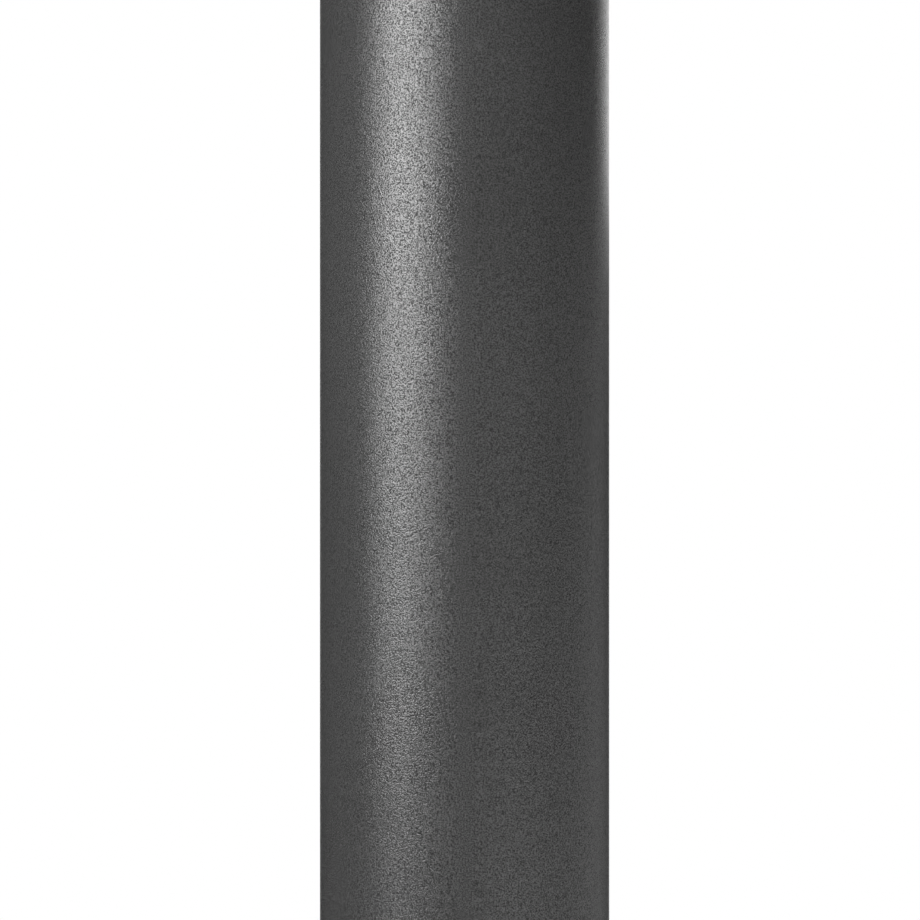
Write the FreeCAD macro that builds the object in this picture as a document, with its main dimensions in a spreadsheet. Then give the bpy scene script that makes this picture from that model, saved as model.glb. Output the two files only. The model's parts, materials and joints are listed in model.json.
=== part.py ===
"""Street lamp post: a straight round steel column on a bolted base flange, with a service door, the fused
cut-out behind it, and a post-top lantern with a clear conical bowl and a hinged canopy.

The frame is +Z up, with the origin at the centre of the flange's underside, and the door faces -Y.
All lengths are millimetres. Every driving dimension is a cell of the Sizes sheet. Each Size below carries both
its value and the sheet expression that gives it, so that each feature stays bound to the sheet.
"""

import FreeCAD, Part
import math
import os

import Sketcher
from FreeCAD import Placement, Rotation, Vector
from types import SimpleNamespace

doc = FreeCAD.newDocument("lamp_post")
nodes = []  # the finished sub-parts, in the order they were made

UP = Rotation()  # local Z stays Z
UNDER = Rotation(Vector(1, 0, 0), 180)  # local Z points to -Z
OUT = Rotation(Vector(1, 0, 0), 90)  # local Z points to -Y, out through the door
BACK = Rotation(Vector(1, 0, 0), -90)  # local Z points to +Y
INWARD = Rotation(Vector(0, 1, 0), -90)  # local Z points to -X
ACROSS = Rotation(Vector(0, 1, 0), 90)  # local Z points to +X

DRIVING = {
    # clearances
    "fit_gap": 0.05,
    "running_gap": 0.1,
    "moving_gap": 0.3,
    # column
    "shaft_diameter": 76,
    "shaft_wall": 3,
    "shaft_top": 3500,
    # base flange
    "flange_diameter": 260,
    "flange_thickness": 12,
    "flange_seat": 8,
    "flange_chamfer": 2,
    "cable_hole": 60,
    "bolt_circle": 200,
    "bolt_hole": 18,
    "bolt_count": 4,
    "weld_leg": 6,
    # door opening, its frame and the door
    "door_sill": 560,
    "door_opening_height": 300,
    "door_opening_width": 44,
    "door_corner": 10,
    "door_gap": 0.8,
    "frame_thickness": 4.6,
    "frame_lap": 7,
    "plate_start": 8,
    "ledge_side": 5,
    "ledge_low": 3,
    "ledge_high": 5,
    "gasket_thickness": 1.9,
    "tongue_width": 14,
    "tongue_plate": 2.5,
    "tongue_height": 32,
    "tongue_step": 6,
    "tongue_drop": 6,
    "tongue_clearance": 0.75,
    # lock and latch
    "lock_drop": 26,
    "lock_head": 19.6,
    "lock_head_height": 1.55,
    "lock_spotface": 1.8,
    "lock_body": 14,
    "lock_bore": 10,
    "lock_recess": 12.4,
    "lock_recess_depth": 3,
    "lock_nut_across": 17,
    "lock_nut_height": 3,
    "lock_thread_end": 0.8,
    "lock_disc": 16,
    "lock_disc_thickness": 2,
    "lock_crank": 5,
    "crank_pin": 4,
    "key_stud": 9,
    "key_stud_height": 2.9,
    "key_collar": 1,
    "guide_plate": 2,
    "guide_wall": 2,
    "guide_lip": 2,
    "guide_lip_thickness": 1.5,
    "guide_below": 14,
    "guide_above": 12,
    "latch_width": 20,
    "latch_plate": 2.5,
    "latch_tip": 14,
    "latch_below": 9,
    "latch_shoulder": 11.5,
    # rail and earth terminal
    "rail_width": 24,
    "rail_depth": 11,
    "rail_wall": 2,
    "rail_mouth": 11,
    "rail_rise": 30,
    "rail_length": 230,
    "rivet_diameter": 4.8,
    "rivet_head": 9.6,
    "rivet_head_height": 1.5,
    "rivet_inset": 12,
    "earth_rise": 25,
    "earth_thread": 8,
    "earth_collar": 14,
    "earth_length": 20,
    "earth_nut_across": 13,
    "earth_nut_height": 5.5,
    "earth_washer": 1.2,
    # fused cut-out
    "cutout_rise": 40,
    "cutout_height": 175,
    "cutout_width": 41,
    "cutout_depth": 32,
    "cutout_wall": 2,
    "cable_inlet": 12,
    "inlet_spread": 9,
    "outlet_offset": 6,
    "grommet_lip": 1.2,
    "cover_screw": 3,
    "boss_diameter": 7,
    "low_boss_rise": 50,
    "high_boss_drop": 9,
    "high_boss_offset": 14,
    "fixing_bolt": 6,
    "fixing_rise": 75,
    "carrier_width": 15,
    "carrier_height": 66,
    "carrier_rise": 84,
    "carrier_middle": 9,
    "carrier_slack": 0.6,
    "carrier_face": 3.6,
    "grip_reach": 5,
    "fuse_setback": 16,
    "fuse_diameter": 10.3,
    "fuse_length": 38,
    "fuse_cap": 8,
    "clip_thickness": 0.8,
    "terminal_pitch": 7,
    "terminal_poles": 5,
    "terminal_height": 30,
    "terminal_depth": 17,
    # lantern socket and stem
    "socket_grip": 95,
    "socket_wall": 8,
    "socket_overhang": 8,
    "socket_rise": 53,
    "socket_plate": 6,
    "post_clearance": 0.2,
    "grub_screw": 8,
    "grub_drop": 35,
    "grub_spacing": 40,
    "stem_diameter": 48,
    "stem_wall": 3,
    "stem_foot": 64,
    "stem_ledge": 11,
    "stem_head": 60,
    "stem_plate": 6,
    "stem_screw": 5,
    # bowl
    "bowl_height": 262,
    "bowl_foot_margin": 8,
    "bowl_mouth": 200,
    "bowl_wall": 4,
    "seal_thickness": 2,
    # light engine
    "board_inner_margin": 6,
    "board_outer_margin": 14,
    "board_thickness": 1.6,
    "lens_wall": 2.5,
    "lens_depth": 9,
    "led_size": 5,
    "led_height": 1,
    "led_inner_margin": 32,
    "led_outer_margin": 34,
    "lens_screw": 4,
    # canopy
    "pan_overhang": 36,
    "pan_plate": 4,
    "pan_rim": 24,
    "pan_skirt": 12,
    "lid_gap": 1,
    "lid_wall": 2.5,
    "lid_lap": 16,
    "lid_headroom": 5,
    "lid_crown": 48,
    "hinge_pin": 6,
    "hinge_knuckle": 10,
    "hinge_width": 52,
    "hinge_offset": 11,
    "hinge_rise": 4,
    "lid_screw": 6,
    "lid_screw_head": 16,
    "lid_screw_height": 9,
    "lug_width": 18,
    "lug_offset": 14,
    "lug_thickness": 8,
}


class Size:
    """A length or count: its value, and the sheet expression that gives that value."""

    def __init__(self, value, text):
        self.value = float(value)
        self.text = text

    def joined(self, sign, other, value):
        return Size(value, f"({self.text} {sign} {other.text})")

    def __add__(self, other):
        other = as_size(other)
        return self.joined("+", other, self.value + other.value)

    def __sub__(self, other):
        other = as_size(other)
        return self.joined("-", other, self.value - other.value)

    def __mul__(self, other):
        other = as_size(other)
        return self.joined("*", other, self.value * other.value)

    def __truediv__(self, other):
        other = as_size(other)
        return self.joined("/", other, self.value / other.value)

    def __radd__(self, other):
        return as_size(other) + self

    def __rsub__(self, other):
        return as_size(other) - self

    def __rmul__(self, other):
        return as_size(other) * self

    def __neg__(self):
        return as_size(0) - self


def as_size(number):
    return number if isinstance(number, Size) else Size(number, f"{float(number):.9f}")


def root(size):
    return Size(math.sqrt(size.value), f"sqrt({size.text})")


def fill_sheet():
    """Writes the driving dimensions into the sheet and returns them as Sizes."""
    sheet = doc.addObject("Spreadsheet::Sheet", "Sizes")
    sizes = {}
    for row, (name, number) in enumerate(DRIVING.items(), start=1):
        sheet.set(f"A{row}", name)
        sheet.set(f"B{row}", str(number))
        sheet.setAlias(f"B{row}", name)
        sizes[name] = Size(number, f"Sizes.{name}")
    doc.recompute()
    return SimpleNamespace(**sizes)


def bind(thing, attribute, size):
    thing.setExpression(attribute, as_size(size).text)


def place(thing, x=0, y=0, z=0, turn=UP):
    """Turns an object and binds its position to the sheet."""
    thing.Placement = Placement(Vector(as_size(x).value, as_size(y).value, as_size(z).value), turn)
    for axis, size in zip("xyz", (x, y, z)):
        bind(thing, f"Placement.Base.{axis}", size)
    return thing


def node(label, thing):
    """Names a finished sub-part and lists it for export."""
    thing.Label = label
    nodes.append(thing)
    return thing


# ---- sketches and PartDesign bodies ----


def new_body():
    return doc.addObject("PartDesign::Body", "body")


def new_sketch(body, plane, offset=0):
    """A sketch on one of the body's own origin planes, moved along its normal by offset."""
    sketch = body.newObject("Sketcher::SketchObject", "sketch")
    origin_plane = next(f for f in body.Origin.OriginFeatures if f.Role == plane)
    sketch.AttachmentSupport = [(origin_plane, "")]
    sketch.MapMode = "FlatFace"
    bind(sketch, "AttachmentOffset.Base.z", offset)
    return sketch


def pin_point(sketch, edge, end, x, y):
    """Fixes one end of an edge at a place given by two sizes."""
    for kind, size in (("DistanceX", as_size(x)), ("DistanceY", as_size(y))):
        number = sketch.addConstraint(Sketcher.Constraint(kind, -1, 1, edge, end, size.value))
        sketch.setExpression(f"Constraints[{number}]", size.text)


def arc_between(start, end, radius):
    """An arc from start to end that turns to the left, and whether its own ends run the other way."""
    chord = end - start
    middle = (start + end) / 2
    side = Vector(-chord.y, chord.x, 0).normalize()
    centre = middle + side * math.sqrt(radius**2 - (chord.Length / 2) ** 2)
    first = math.atan2(start.y - centre.y, start.x - centre.x)
    last = math.atan2(end.y - centre.y, end.x - centre.x)
    return Part.ArcOfCircle(Part.Circle(centre, Vector(0, 0, 1), radius), first, last)


def draw_outline(sketch, points):
    """A closed outline. A point is (x, y), or (x, y, radius) where a left-turning arc of that radius ends."""
    corners = [Vector(as_size(p[0]).value, as_size(p[1]).value, 0) for p in points]
    first_edge = sketch.GeometryCount
    for i, point in enumerate(points):
        start = corners[i - 1]
        if len(point) == 3:
            sketch.addGeometry(arc_between(start, corners[i], as_size(point[2]).value))
        else:
            sketch.addGeometry(Part.LineSegment(start, corners[i]))
    for i, point in enumerate(points):
        edge = first_edge + i
        following = first_edge + (i + 1) % len(points)
        sketch.addConstraint(Sketcher.Constraint("Coincident", edge, 2, following, 1))
        pin_point(sketch, edge, 2, point[0], point[1])
        if len(point) == 3:
            number = sketch.addConstraint(Sketcher.Constraint("Radius", edge, as_size(point[2]).value))
            sketch.setExpression(f"Constraints[{number}]", as_size(point[2]).text)


def draw_circle(sketch, x, y, radius):
    centre = Vector(as_size(x).value, as_size(y).value, 0)
    edge = sketch.addGeometry(Part.Circle(centre, Vector(0, 0, 1), as_size(radius).value))
    pin_point(sketch, edge, 3, x, y)
    number = sketch.addConstraint(Sketcher.Constraint("Radius", edge, as_size(radius).value))
    sketch.setExpression(f"Constraints[{number}]", as_size(radius).text)


def rectangle(x_low, y_low, x_high, y_high):
    return [(x_low, y_low), (x_high, y_low), (x_high, y_high), (x_low, y_high)]


def rounded_rectangle(half_width, low, high, corner):
    """An outline centred on x = 0, from low to high, with its four corners as arcs."""
    inset = half_width - corner
    return [
        (inset, low),
        (half_width, low + corner, corner),
        (half_width, high - corner),
        (inset, high, corner),
        (-inset, high),
        (-half_width, high - corner, corner),
        (-half_width, low + corner),
        (-inset, low, corner),
    ]


def turned(profile):
    """A body revolved about its own Z from a profile of (radius, height) points."""
    body = new_body()
    sketch = new_sketch(body, "XZ_Plane")
    draw_outline(sketch, profile)
    feature = body.newObject("PartDesign::Revolution", "turn")
    feature.Profile = sketch
    feature.ReferenceAxis = (sketch, ["V_Axis"])
    feature.Angle = 360
    doc.recompute()
    return body


def pad(body, sketch, length, both_sides=False):
    feature = body.newObject("PartDesign::Pad", "pad")
    feature.Profile = sketch
    bind(feature, "Length", length)
    feature.Midplane = both_sides
    doc.recompute()
    return feature


def pocket_through(body, sketch):
    """Cuts a sketch through the body along its plane's normal, and stops if the cut takes nothing away."""
    before = body.Shape.Volume
    feature = body.newObject("PartDesign::Pocket", "pocket")
    feature.Profile = sketch
    feature.Type = "ThroughAll"
    feature.Reversed = True
    doc.recompute()
    if not body.Shape.Volume < before:
        raise RuntimeError(f"{body.Name}: a pocket cuts nothing")
    return feature


def groove(body, profile):
    """Turns a hollow out of a body about its own Z, and stops if that takes nothing away."""
    sketch = new_sketch(body, "XZ_Plane")
    draw_outline(sketch, profile)
    before = body.Shape.Volume
    feature = body.newObject("PartDesign::Groove", "hollow")
    feature.Profile = sketch
    feature.ReferenceAxis = (sketch, ["V_Axis"])
    feature.Angle = 360
    doc.recompute()
    if not body.Shape.Volume < before:
        raise RuntimeError(f"{body.Name}: a groove cuts nothing")


def extruded(points, length, plane="XY_Plane", offset=0, both_sides=False):
    """A body padded from one closed outline along its plane's normal."""
    body = new_body()
    sketch = new_sketch(body, plane, offset)
    draw_outline(sketch, points)
    pad(body, sketch, length, both_sides=both_sides)
    return body


def round_edge(body, radius, edge_radius, height):
    """Rounds the circular edge of the body's last feature that has a given radius and height."""
    tip = body.Tip
    names = []
    for number, edge in enumerate(tip.Shape.Edges, start=1):
        if edge.Degenerated or not isinstance(edge.Curve, Part.Circle):
            continue
        off_radius = abs(edge.Curve.Radius - edge_radius.value)
        off_height = abs(edge.Curve.Center.z - height.value)
        if max(off_radius, off_height) < 1e-3:
            names.append(f"Edge{number}")
    feature = body.newObject("PartDesign::Fillet", "fillet")
    feature.Base = (tip, names)
    bind(feature, "Radius", radius)
    doc.recompute()


# ---- Part primitives ----


def block(x_low, x_high, y_low, y_high, z_low, z_high):
    thing = doc.addObject("Part::Box", "block")
    bind(thing, "Length", as_size(x_high) - x_low)
    bind(thing, "Width", as_size(y_high) - y_low)
    bind(thing, "Height", as_size(z_high) - z_low)
    return place(thing, x_low, y_low, z_low)


def rod(radius, length, x=0, y=0, z=0, turn=UP):
    thing = doc.addObject("Part::Cylinder", "rod")
    bind(thing, "Radius", radius)
    bind(thing, "Height", length)
    return place(thing, x, y, z, turn)


def prism(sides, radius, length, x=0, y=0, z=0, turn=UP):
    thing = doc.addObject("Part::Prism", "prism")
    thing.Polygon = sides
    bind(thing, "Circumradius", radius)
    bind(thing, "Height", length)
    return place(thing, x, y, z, turn)


def fused(*pieces):
    thing = doc.addObject("Part::MultiFuse", "fused")
    thing.Shapes = list(pieces)
    return thing


def without(base, *tools):
    thing = doc.addObject("Part::Cut", "cut")
    thing.Base = base
    thing.Tool = tools[0] if len(tools) == 1 else fused(*tools)
    return thing


def together(*pieces):
    """Separate solids that share one node."""
    thing = doc.addObject("Part::Compound", "group")
    thing.Links = list(pieces)
    return thing


d = fill_sheet()

# ---- places that several pieces share ----

tube_outer = d.shaft_diameter / 2
tube_inner = tube_outer - d.shaft_wall
shaft_foot = d.flange_thickness - d.flange_seat

opening_half = d.door_opening_width / 2
opening_head = d.door_sill + d.door_opening_height
door_foot = d.door_sill + d.door_gap
seal_outer = tube_inner - d.fit_gap
seal_inner = seal_outer - d.gasket_thickness
frame_ledge = seal_inner - d.moving_gap
frame_inner = seal_outer - d.frame_thickness

lock_height = opening_head - d.lock_drop
guide_half = d.latch_width / 2 + d.moving_gap
guide_edge = guide_half + d.guide_wall
guide_front = root(tube_inner * tube_inner - guide_edge * guide_edge) - d.fit_gap
guide_back = guide_front - d.guide_plate
lock_nut_back = guide_back - d.fit_gap - d.lock_nut_height
lock_body_end = lock_nut_back - d.lock_thread_end
lock_disc_back = lock_body_end - d.moving_gap - d.lock_disc_thickness
latch_front = lock_disc_back - d.moving_gap
latch_back = latch_front - d.latch_plate
crank_offset = d.lock_crank * math.sqrt(0.5)

rail_front = root(tube_inner * tube_inner - d.rail_width * d.rail_width / 4) - d.fit_gap - d.rail_depth
cutout_foot = d.door_sill + d.cutout_rise
cutout_back = rail_front - d.fit_gap
cutout_front = cutout_back - d.cutout_depth
cover_front = cutout_front - d.fit_gap - d.cutout_wall
tray_floor = cutout_back - d.cutout_wall
fixing_height = cutout_foot + d.fixing_rise
carrier_low = cutout_foot + d.carrier_rise
carrier_high = carrier_low + d.carrier_height
fuse_y = cover_front + d.fuse_setback
fuse_low = (carrier_low + carrier_high) / 2 - d.fuse_length / 2
clip_back = fuse_y + d.fuse_diameter / 2 + d.running_gap + d.clip_thickness

socket_top = d.shaft_top + d.socket_rise
stem_spigot = d.stem_foot - d.stem_ledge
bowl_foot = d.stem_foot + d.bowl_foot_margin
socket_radius = bowl_foot + d.socket_overhang
board_inner = d.stem_head + d.board_inner_margin
board_outer = d.bowl_mouth - d.board_outer_margin
led_inner_ring = board_inner + d.led_inner_margin
led_outer_ring = board_outer - d.led_outer_margin
lens_screw_ring = (led_inner_ring + led_outer_ring) / 2

pan_level = socket_top + d.bowl_height
pan_radius = d.bowl_mouth + d.pan_overhang
lid_skirt_end = pan_level + d.pan_rim - d.lid_lap
hinge_y = pan_radius + d.hinge_offset
hinge_z = pan_level + d.hinge_rise
lug_y = -(pan_radius + d.lug_offset)


def rivet_heights():
    low = d.door_sill + d.rail_rise
    return low + d.rivet_inset, low + d.rail_length - d.rivet_inset


def ledge_window():
    """The outline of the way in, inside the ledge that the door closes on."""
    return (
        opening_half - d.ledge_side,
        d.door_sill + d.ledge_low,
        opening_head - d.ledge_high,
        d.door_corner - d.ledge_side,
    )


def door_outline():
    """The door's own outline, one gap inside the opening all round."""
    return opening_half - d.door_gap, door_foot, opening_head - d.door_gap, d.door_corner - d.door_gap


def cover_screw_places():
    """The (x, z) places of the two screws that hold the cut-out's cover."""
    low = (0, cutout_foot + d.low_boss_rise)
    high = (-d.high_boss_offset, cutout_foot + d.cutout_height - d.high_boss_drop)
    return low, high


def around(radius, count, first_angle=0):
    """Evenly spaced (x, y) places on a circle about the column's axis."""
    angles = [math.radians(first_angle + 360 / count * i) for i in range(count)]
    return [(radius * math.cos(a), radius * math.sin(a)) for a in angles]


def stem_screw_places():
    """Four places on the stem's bolt circle, between its tube and the edge of its head."""
    return around((d.stem_diameter / 2 + d.stem_head) / 2, 4, 45)


def lens_screw_places():
    return around(lens_screw_ring, 8, 22.5)


def hex_radius(across):
    """The circumradius of a hexagon of a given width across its flats."""
    return across / 2 / math.cos(math.radians(30))


# ---- column ----


def make_base_flange():
    """A round plate with the tube's seat, its fillet weld, the cable hole and the anchor bolt holes."""
    outer = d.flange_diameter / 2
    seat = tube_outer + d.fit_gap
    body = turned(
        [
            (d.cable_hole / 2, 0),
            (outer, 0),
            (outer, d.flange_thickness - d.flange_chamfer),
            (outer - d.flange_chamfer, d.flange_thickness),
            (seat + d.weld_leg, d.flange_thickness),
            (seat, d.flange_thickness + d.weld_leg),
            (seat, shaft_foot),
            (d.cable_hole / 2, shaft_foot),
        ]
    )
    sketch = new_sketch(body, "XY_Plane")
    diagonal = d.bolt_circle / 2 * math.sqrt(0.5)
    draw_circle(sketch, diagonal, diagonal, d.bolt_hole / 2)
    hole = pocket_through(body, sketch)
    pattern = body.newObject("PartDesign::PolarPattern", "bolt_holes")
    pattern.Originals = [hole]
    pattern.Axis = (sketch, ["N_Axis"])
    pattern.Angle = 360
    bind(pattern, "Occurrences", d.bolt_count)
    body.Tip = pattern
    node("base_flange", body)


def make_shaft():
    """The column tube, with the door opening in front and the rail's two rivet holes behind."""
    body = new_body()
    sketch = new_sketch(body, "XY_Plane", shaft_foot)
    draw_circle(sketch, 0, 0, tube_outer)
    draw_circle(sketch, 0, 0, tube_inner)
    pad(body, sketch, d.shaft_top - shaft_foot)
    opening = new_sketch(body, "XZ_Plane")
    draw_outline(opening, rounded_rectangle(opening_half, d.door_sill, opening_head, d.door_corner))
    pocket_through(body, opening)
    hole_radius = d.rivet_diameter / 2 + d.running_gap
    holes = [rod(hole_radius, tube_outer + 1, 0, 0, z, BACK) for z in rivet_heights()]
    node("shaft", without(body, *holes))


def curved_plate(outer, inner, outline, window=None):
    """A plate of the tube's curvature, facing -Y, with rounded corners and perhaps a window alike.

    However wide it is, it starts in front of the axis, so it stays clear of what stands on the side walls.
    """
    body = new_body()
    sketch = new_sketch(body, "XZ_Plane", d.plate_start)
    draw_outline(sketch, rounded_rectangle(*outline))
    pad(body, sketch, outer + 1 - d.plate_start)
    if window:
        sketch = new_sketch(body, "XZ_Plane")
        draw_outline(sketch, rounded_rectangle(*window))
        pocket_through(body, sketch)
    ring = new_sketch(body, "XY_Plane")
    far = outer * 2
    draw_outline(ring, rectangle(-far, -far, far, far))
    draw_circle(ring, 0, 0, outer)
    draw_circle(ring, 0, 0, inner)
    pocket_through(body, ring)
    return body


def make_door_frame():
    """The frame bonded behind the opening, rebated so that the door's gasket closes on a ledge."""
    outline = (
        opening_half + d.frame_lap,
        d.door_sill - d.frame_lap,
        opening_head + d.frame_lap,
        d.door_corner + d.frame_lap,
    )
    rebate = (opening_half, d.door_sill, opening_head, d.door_corner)
    front = curved_plate(seal_outer, frame_ledge, outline, rebate)
    back = curved_plate(frame_ledge, frame_inner, outline, ledge_window())
    node("door_frame", fused(front, back))


def make_door():
    """The flush door panel, its gasket, and the hooked tongue it tilts on."""
    panel = curved_plate(tube_outer, tube_inner, door_outline())
    spotface = tube_outer - d.lock_spotface
    lock_hole = rod(d.lock_body / 2 + d.running_gap, tube_outer, 0, 0, lock_height, OUT)
    lock_seat = rod(d.lock_head / 2 + d.running_gap, d.shaft_wall, 0, -spotface, lock_height, OUT)
    node("door_panel", without(panel, lock_hole, lock_seat))
    node("door_gasket", curved_plate(seal_outer, seal_inner, door_outline(), ledge_window()))

    half = d.tongue_width / 2
    seat_face = root(tube_inner * tube_inner - half * half) - d.fit_gap
    hook_face = root(frame_inner * frame_inner - half * half) - d.tongue_clearance
    seat_back = seat_face - d.tongue_plate
    hook_back = hook_face - d.tongue_plate
    web_low = d.door_sill + d.ledge_low + d.tongue_step
    web_high = web_low + d.tongue_plate
    hook_end = d.door_sill - d.frame_lap - d.tongue_drop
    profile = [
        (-seat_face, web_low),
        (-hook_face, web_low),
        (-hook_face, hook_end),
        (-hook_back, hook_end),
        (-hook_back, web_high),
        (-seat_back, web_high),
        (-seat_back, web_low + d.tongue_height),
        (-seat_face, web_low + d.tongue_height),
    ]
    node("door_tongue", extruded(profile, d.tongue_width, "YZ_Plane", both_sides=True))


def make_lock():
    """The lock's housing in the door, its nut, and the barrel with a three-sided stud and a crank pin."""
    seat = tube_outer - d.lock_spotface + d.fit_gap
    recess = d.lock_recess / 2
    recess_floor = seat - d.lock_recess_depth
    bore = d.lock_bore / 2
    body_radius = d.lock_body / 2
    housing = turned(
        [
            (bore, lock_body_end),
            (body_radius, lock_body_end),
            (body_radius, seat),
            (d.lock_head / 2, seat),
            (d.lock_head / 2, seat + d.lock_head_height),
            (recess, seat + d.lock_head_height),
            (recess, recess_floor),
            (bore, recess_floor),
        ]
    )
    node("lock_housing", place(housing, 0, 0, lock_height, OUT))

    nut = prism(6, hex_radius(d.lock_nut_across), d.lock_nut_height, 0, -lock_nut_back, lock_height, OUT)
    thread = rod(body_radius + d.fit_gap, tube_outer, 0, 0, lock_height, OUT)
    node("lock_nut", without(nut, thread))

    disc = d.lock_disc / 2
    disc_front = lock_disc_back + d.lock_disc_thickness
    journal = bore - d.running_gap
    collar = recess - d.running_gap
    collar_back = recess_floor + d.running_gap
    collar_front = collar_back + d.key_collar
    barrel = turned(
        [
            (0, lock_disc_back),
            (disc, lock_disc_back),
            (disc, disc_front),
            (journal, disc_front),
            (journal, collar_back),
            (collar, collar_back),
            (collar, collar_front),
            (0, collar_front),
        ]
    )
    place(barrel, 0, 0, lock_height, OUT)
    stud = prism(3, d.key_stud / 2, d.key_stud_height, 0, -collar_front, lock_height, OUT)
    pin_end = latch_back - d.crank_pin / 4
    pin_height = lock_height - crank_offset
    pin = rod(d.crank_pin / 2, lock_disc_back - pin_end, crank_offset, -pin_end, pin_height, OUT)
    node("lock_barrel", fused(barrel, stud, pin))


def make_latch():
    """The channel on the back of the door, and the latch that the crank pin lifts behind the frame."""
    lip_edge = guide_half - d.guide_lip
    lip_front = latch_back - d.moving_gap
    lip_back = lip_front - d.guide_lip_thickness
    channel = [
        (-guide_edge, -guide_front),
        (guide_edge, -guide_front),
        (guide_edge, -lip_back),
        (lip_edge, -lip_back),
        (lip_edge, -lip_front),
        (guide_half, -lip_front),
        (guide_half, -guide_back),
        (-guide_half, -guide_back),
        (-guide_half, -lip_front),
        (-lip_edge, -lip_front),
        (-lip_edge, -lip_back),
        (-guide_edge, -lip_back),
    ]
    guide = extruded(channel, d.guide_below + d.guide_above, offset=lock_height - d.guide_below)
    hole = rod(d.lock_body / 2 + d.running_gap, tube_outer, 0, 0, lock_height, OUT)
    node("latch_guide", without(guide, hole))

    half = d.latch_width / 2
    tip_half = d.latch_tip / 2
    tip_front = root(frame_inner * frame_inner - tip_half * tip_half) - d.moving_gap
    tip_back = tip_front - d.latch_plate
    shoulder_low = lock_height + d.latch_shoulder
    shoulder_high = shoulder_low + d.latch_plate
    tip_end = opening_head - d.ledge_high - 1
    plate = block(-half, half, -latch_front, -latch_back, lock_height - d.latch_below, shoulder_high)
    web = block(-tip_half, tip_half, -tip_front, -latch_back, shoulder_low, shoulder_high)
    tip = block(-tip_half, tip_half, -tip_front, -tip_back, shoulder_low, tip_end)
    slot_half = d.crank_pin / 2 + d.moving_gap
    slot_low = lock_height - crank_offset - slot_half
    slot_near = crank_offset - slot_half
    slot_far = d.lock_crank + slot_half
    slot = block(slot_near, slot_far, -tube_inner, 0, slot_low, slot_low + slot_half * 2)
    node("latch_slide", without(fused(plate, web, tip), slot))


# ---- inside the door ----


def make_rail():
    """The C rail that carries the cut-out, and the two blind rivets that hold it to the tube."""
    half = d.rail_width / 2
    mouth = d.rail_mouth / 2
    wall = d.rail_wall
    back = rail_front + d.rail_depth
    profile = [
        (-half, rail_front),
        (-mouth, rail_front),
        (-mouth, rail_front + wall),
        (-(half - wall), rail_front + wall),
        (-(half - wall), back - wall),
        (half - wall, back - wall),
        (half - wall, rail_front + wall),
        (mouth, rail_front + wall),
        (mouth, rail_front),
        (half, rail_front),
        (half, back),
        (-half, back),
    ]
    rail = extruded(profile, d.rail_length, offset=d.door_sill + d.rail_rise)
    hole_radius = d.rivet_diameter / 2 + d.running_gap
    holes = [rod(hole_radius, tube_outer, 0, 0, z, BACK) for z in rivet_heights()]
    node("c_rail", without(rail, *holes))

    shank = d.rivet_diameter / 2
    tail_radius = shank * 1.5
    head_base = tube_outer + d.fit_gap
    tail_base = back - wall - d.fit_gap
    profile = [
        (0, tail_base - d.rivet_head_height),
        (tail_radius, tail_base - d.rivet_head_height),
        (tail_radius, tail_base),
        (shank, tail_base),
        (shank, head_base),
        (d.rivet_head / 2, head_base),
        (tail_radius, tube_outer + d.rivet_head_height),
        (0, tube_outer + d.rivet_head_height),
    ]
    node("rail_rivets", together(*[place(turned(profile), 0, 0, z, BACK) for z in rivet_heights()]))


def make_earth_terminal():
    """The earth stud brazed to the tube's inner wall, with two washers and two nuts for the lug."""
    z = d.door_sill + d.earth_rise
    thread = d.earth_thread / 2
    collar = d.earth_collar / 2
    collar_height = 2
    lug_space = 1.6
    foot = root(tube_inner * tube_inner - collar * collar) - d.fit_gap
    profile = [
        (0, 0),
        (collar, 0),
        (collar, collar_height),
        (thread, collar_height),
        (thread, d.earth_length),
        (0, d.earth_length),
    ]
    node("earth_stud", place(turned(profile), foot, 0, z, INWARD))

    starts = {}
    at = foot - collar_height - d.fit_gap
    for piece, thickness in (
        ("inner_nut", d.earth_nut_height),
        ("inner_washer", d.earth_washer),
        ("lug_space", as_size(lug_space)),
        ("outer_washer", d.earth_washer),
        ("outer_nut", d.earth_nut_height),
    ):
        starts[piece] = at
        at = at - thickness

    def bored(piece):
        return without(piece, rod(thread + d.running_gap, tube_outer, tube_outer, 0, z, INWARD))

    nuts = []
    washers = []
    for side in ("inner", "outer"):
        nut_at = starts[f"{side}_nut"]
        washer_at = starts[f"{side}_washer"]
        nut = prism(6, hex_radius(d.earth_nut_across), d.earth_nut_height, nut_at, 0, z, INWARD)
        nuts.append(bored(nut))
        washers.append(bored(rod(d.earth_thread, d.earth_washer, washer_at, 0, z, INWARD)))
    node("earth_nuts", together(*nuts))
    node("earth_washers", together(*washers))


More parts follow.
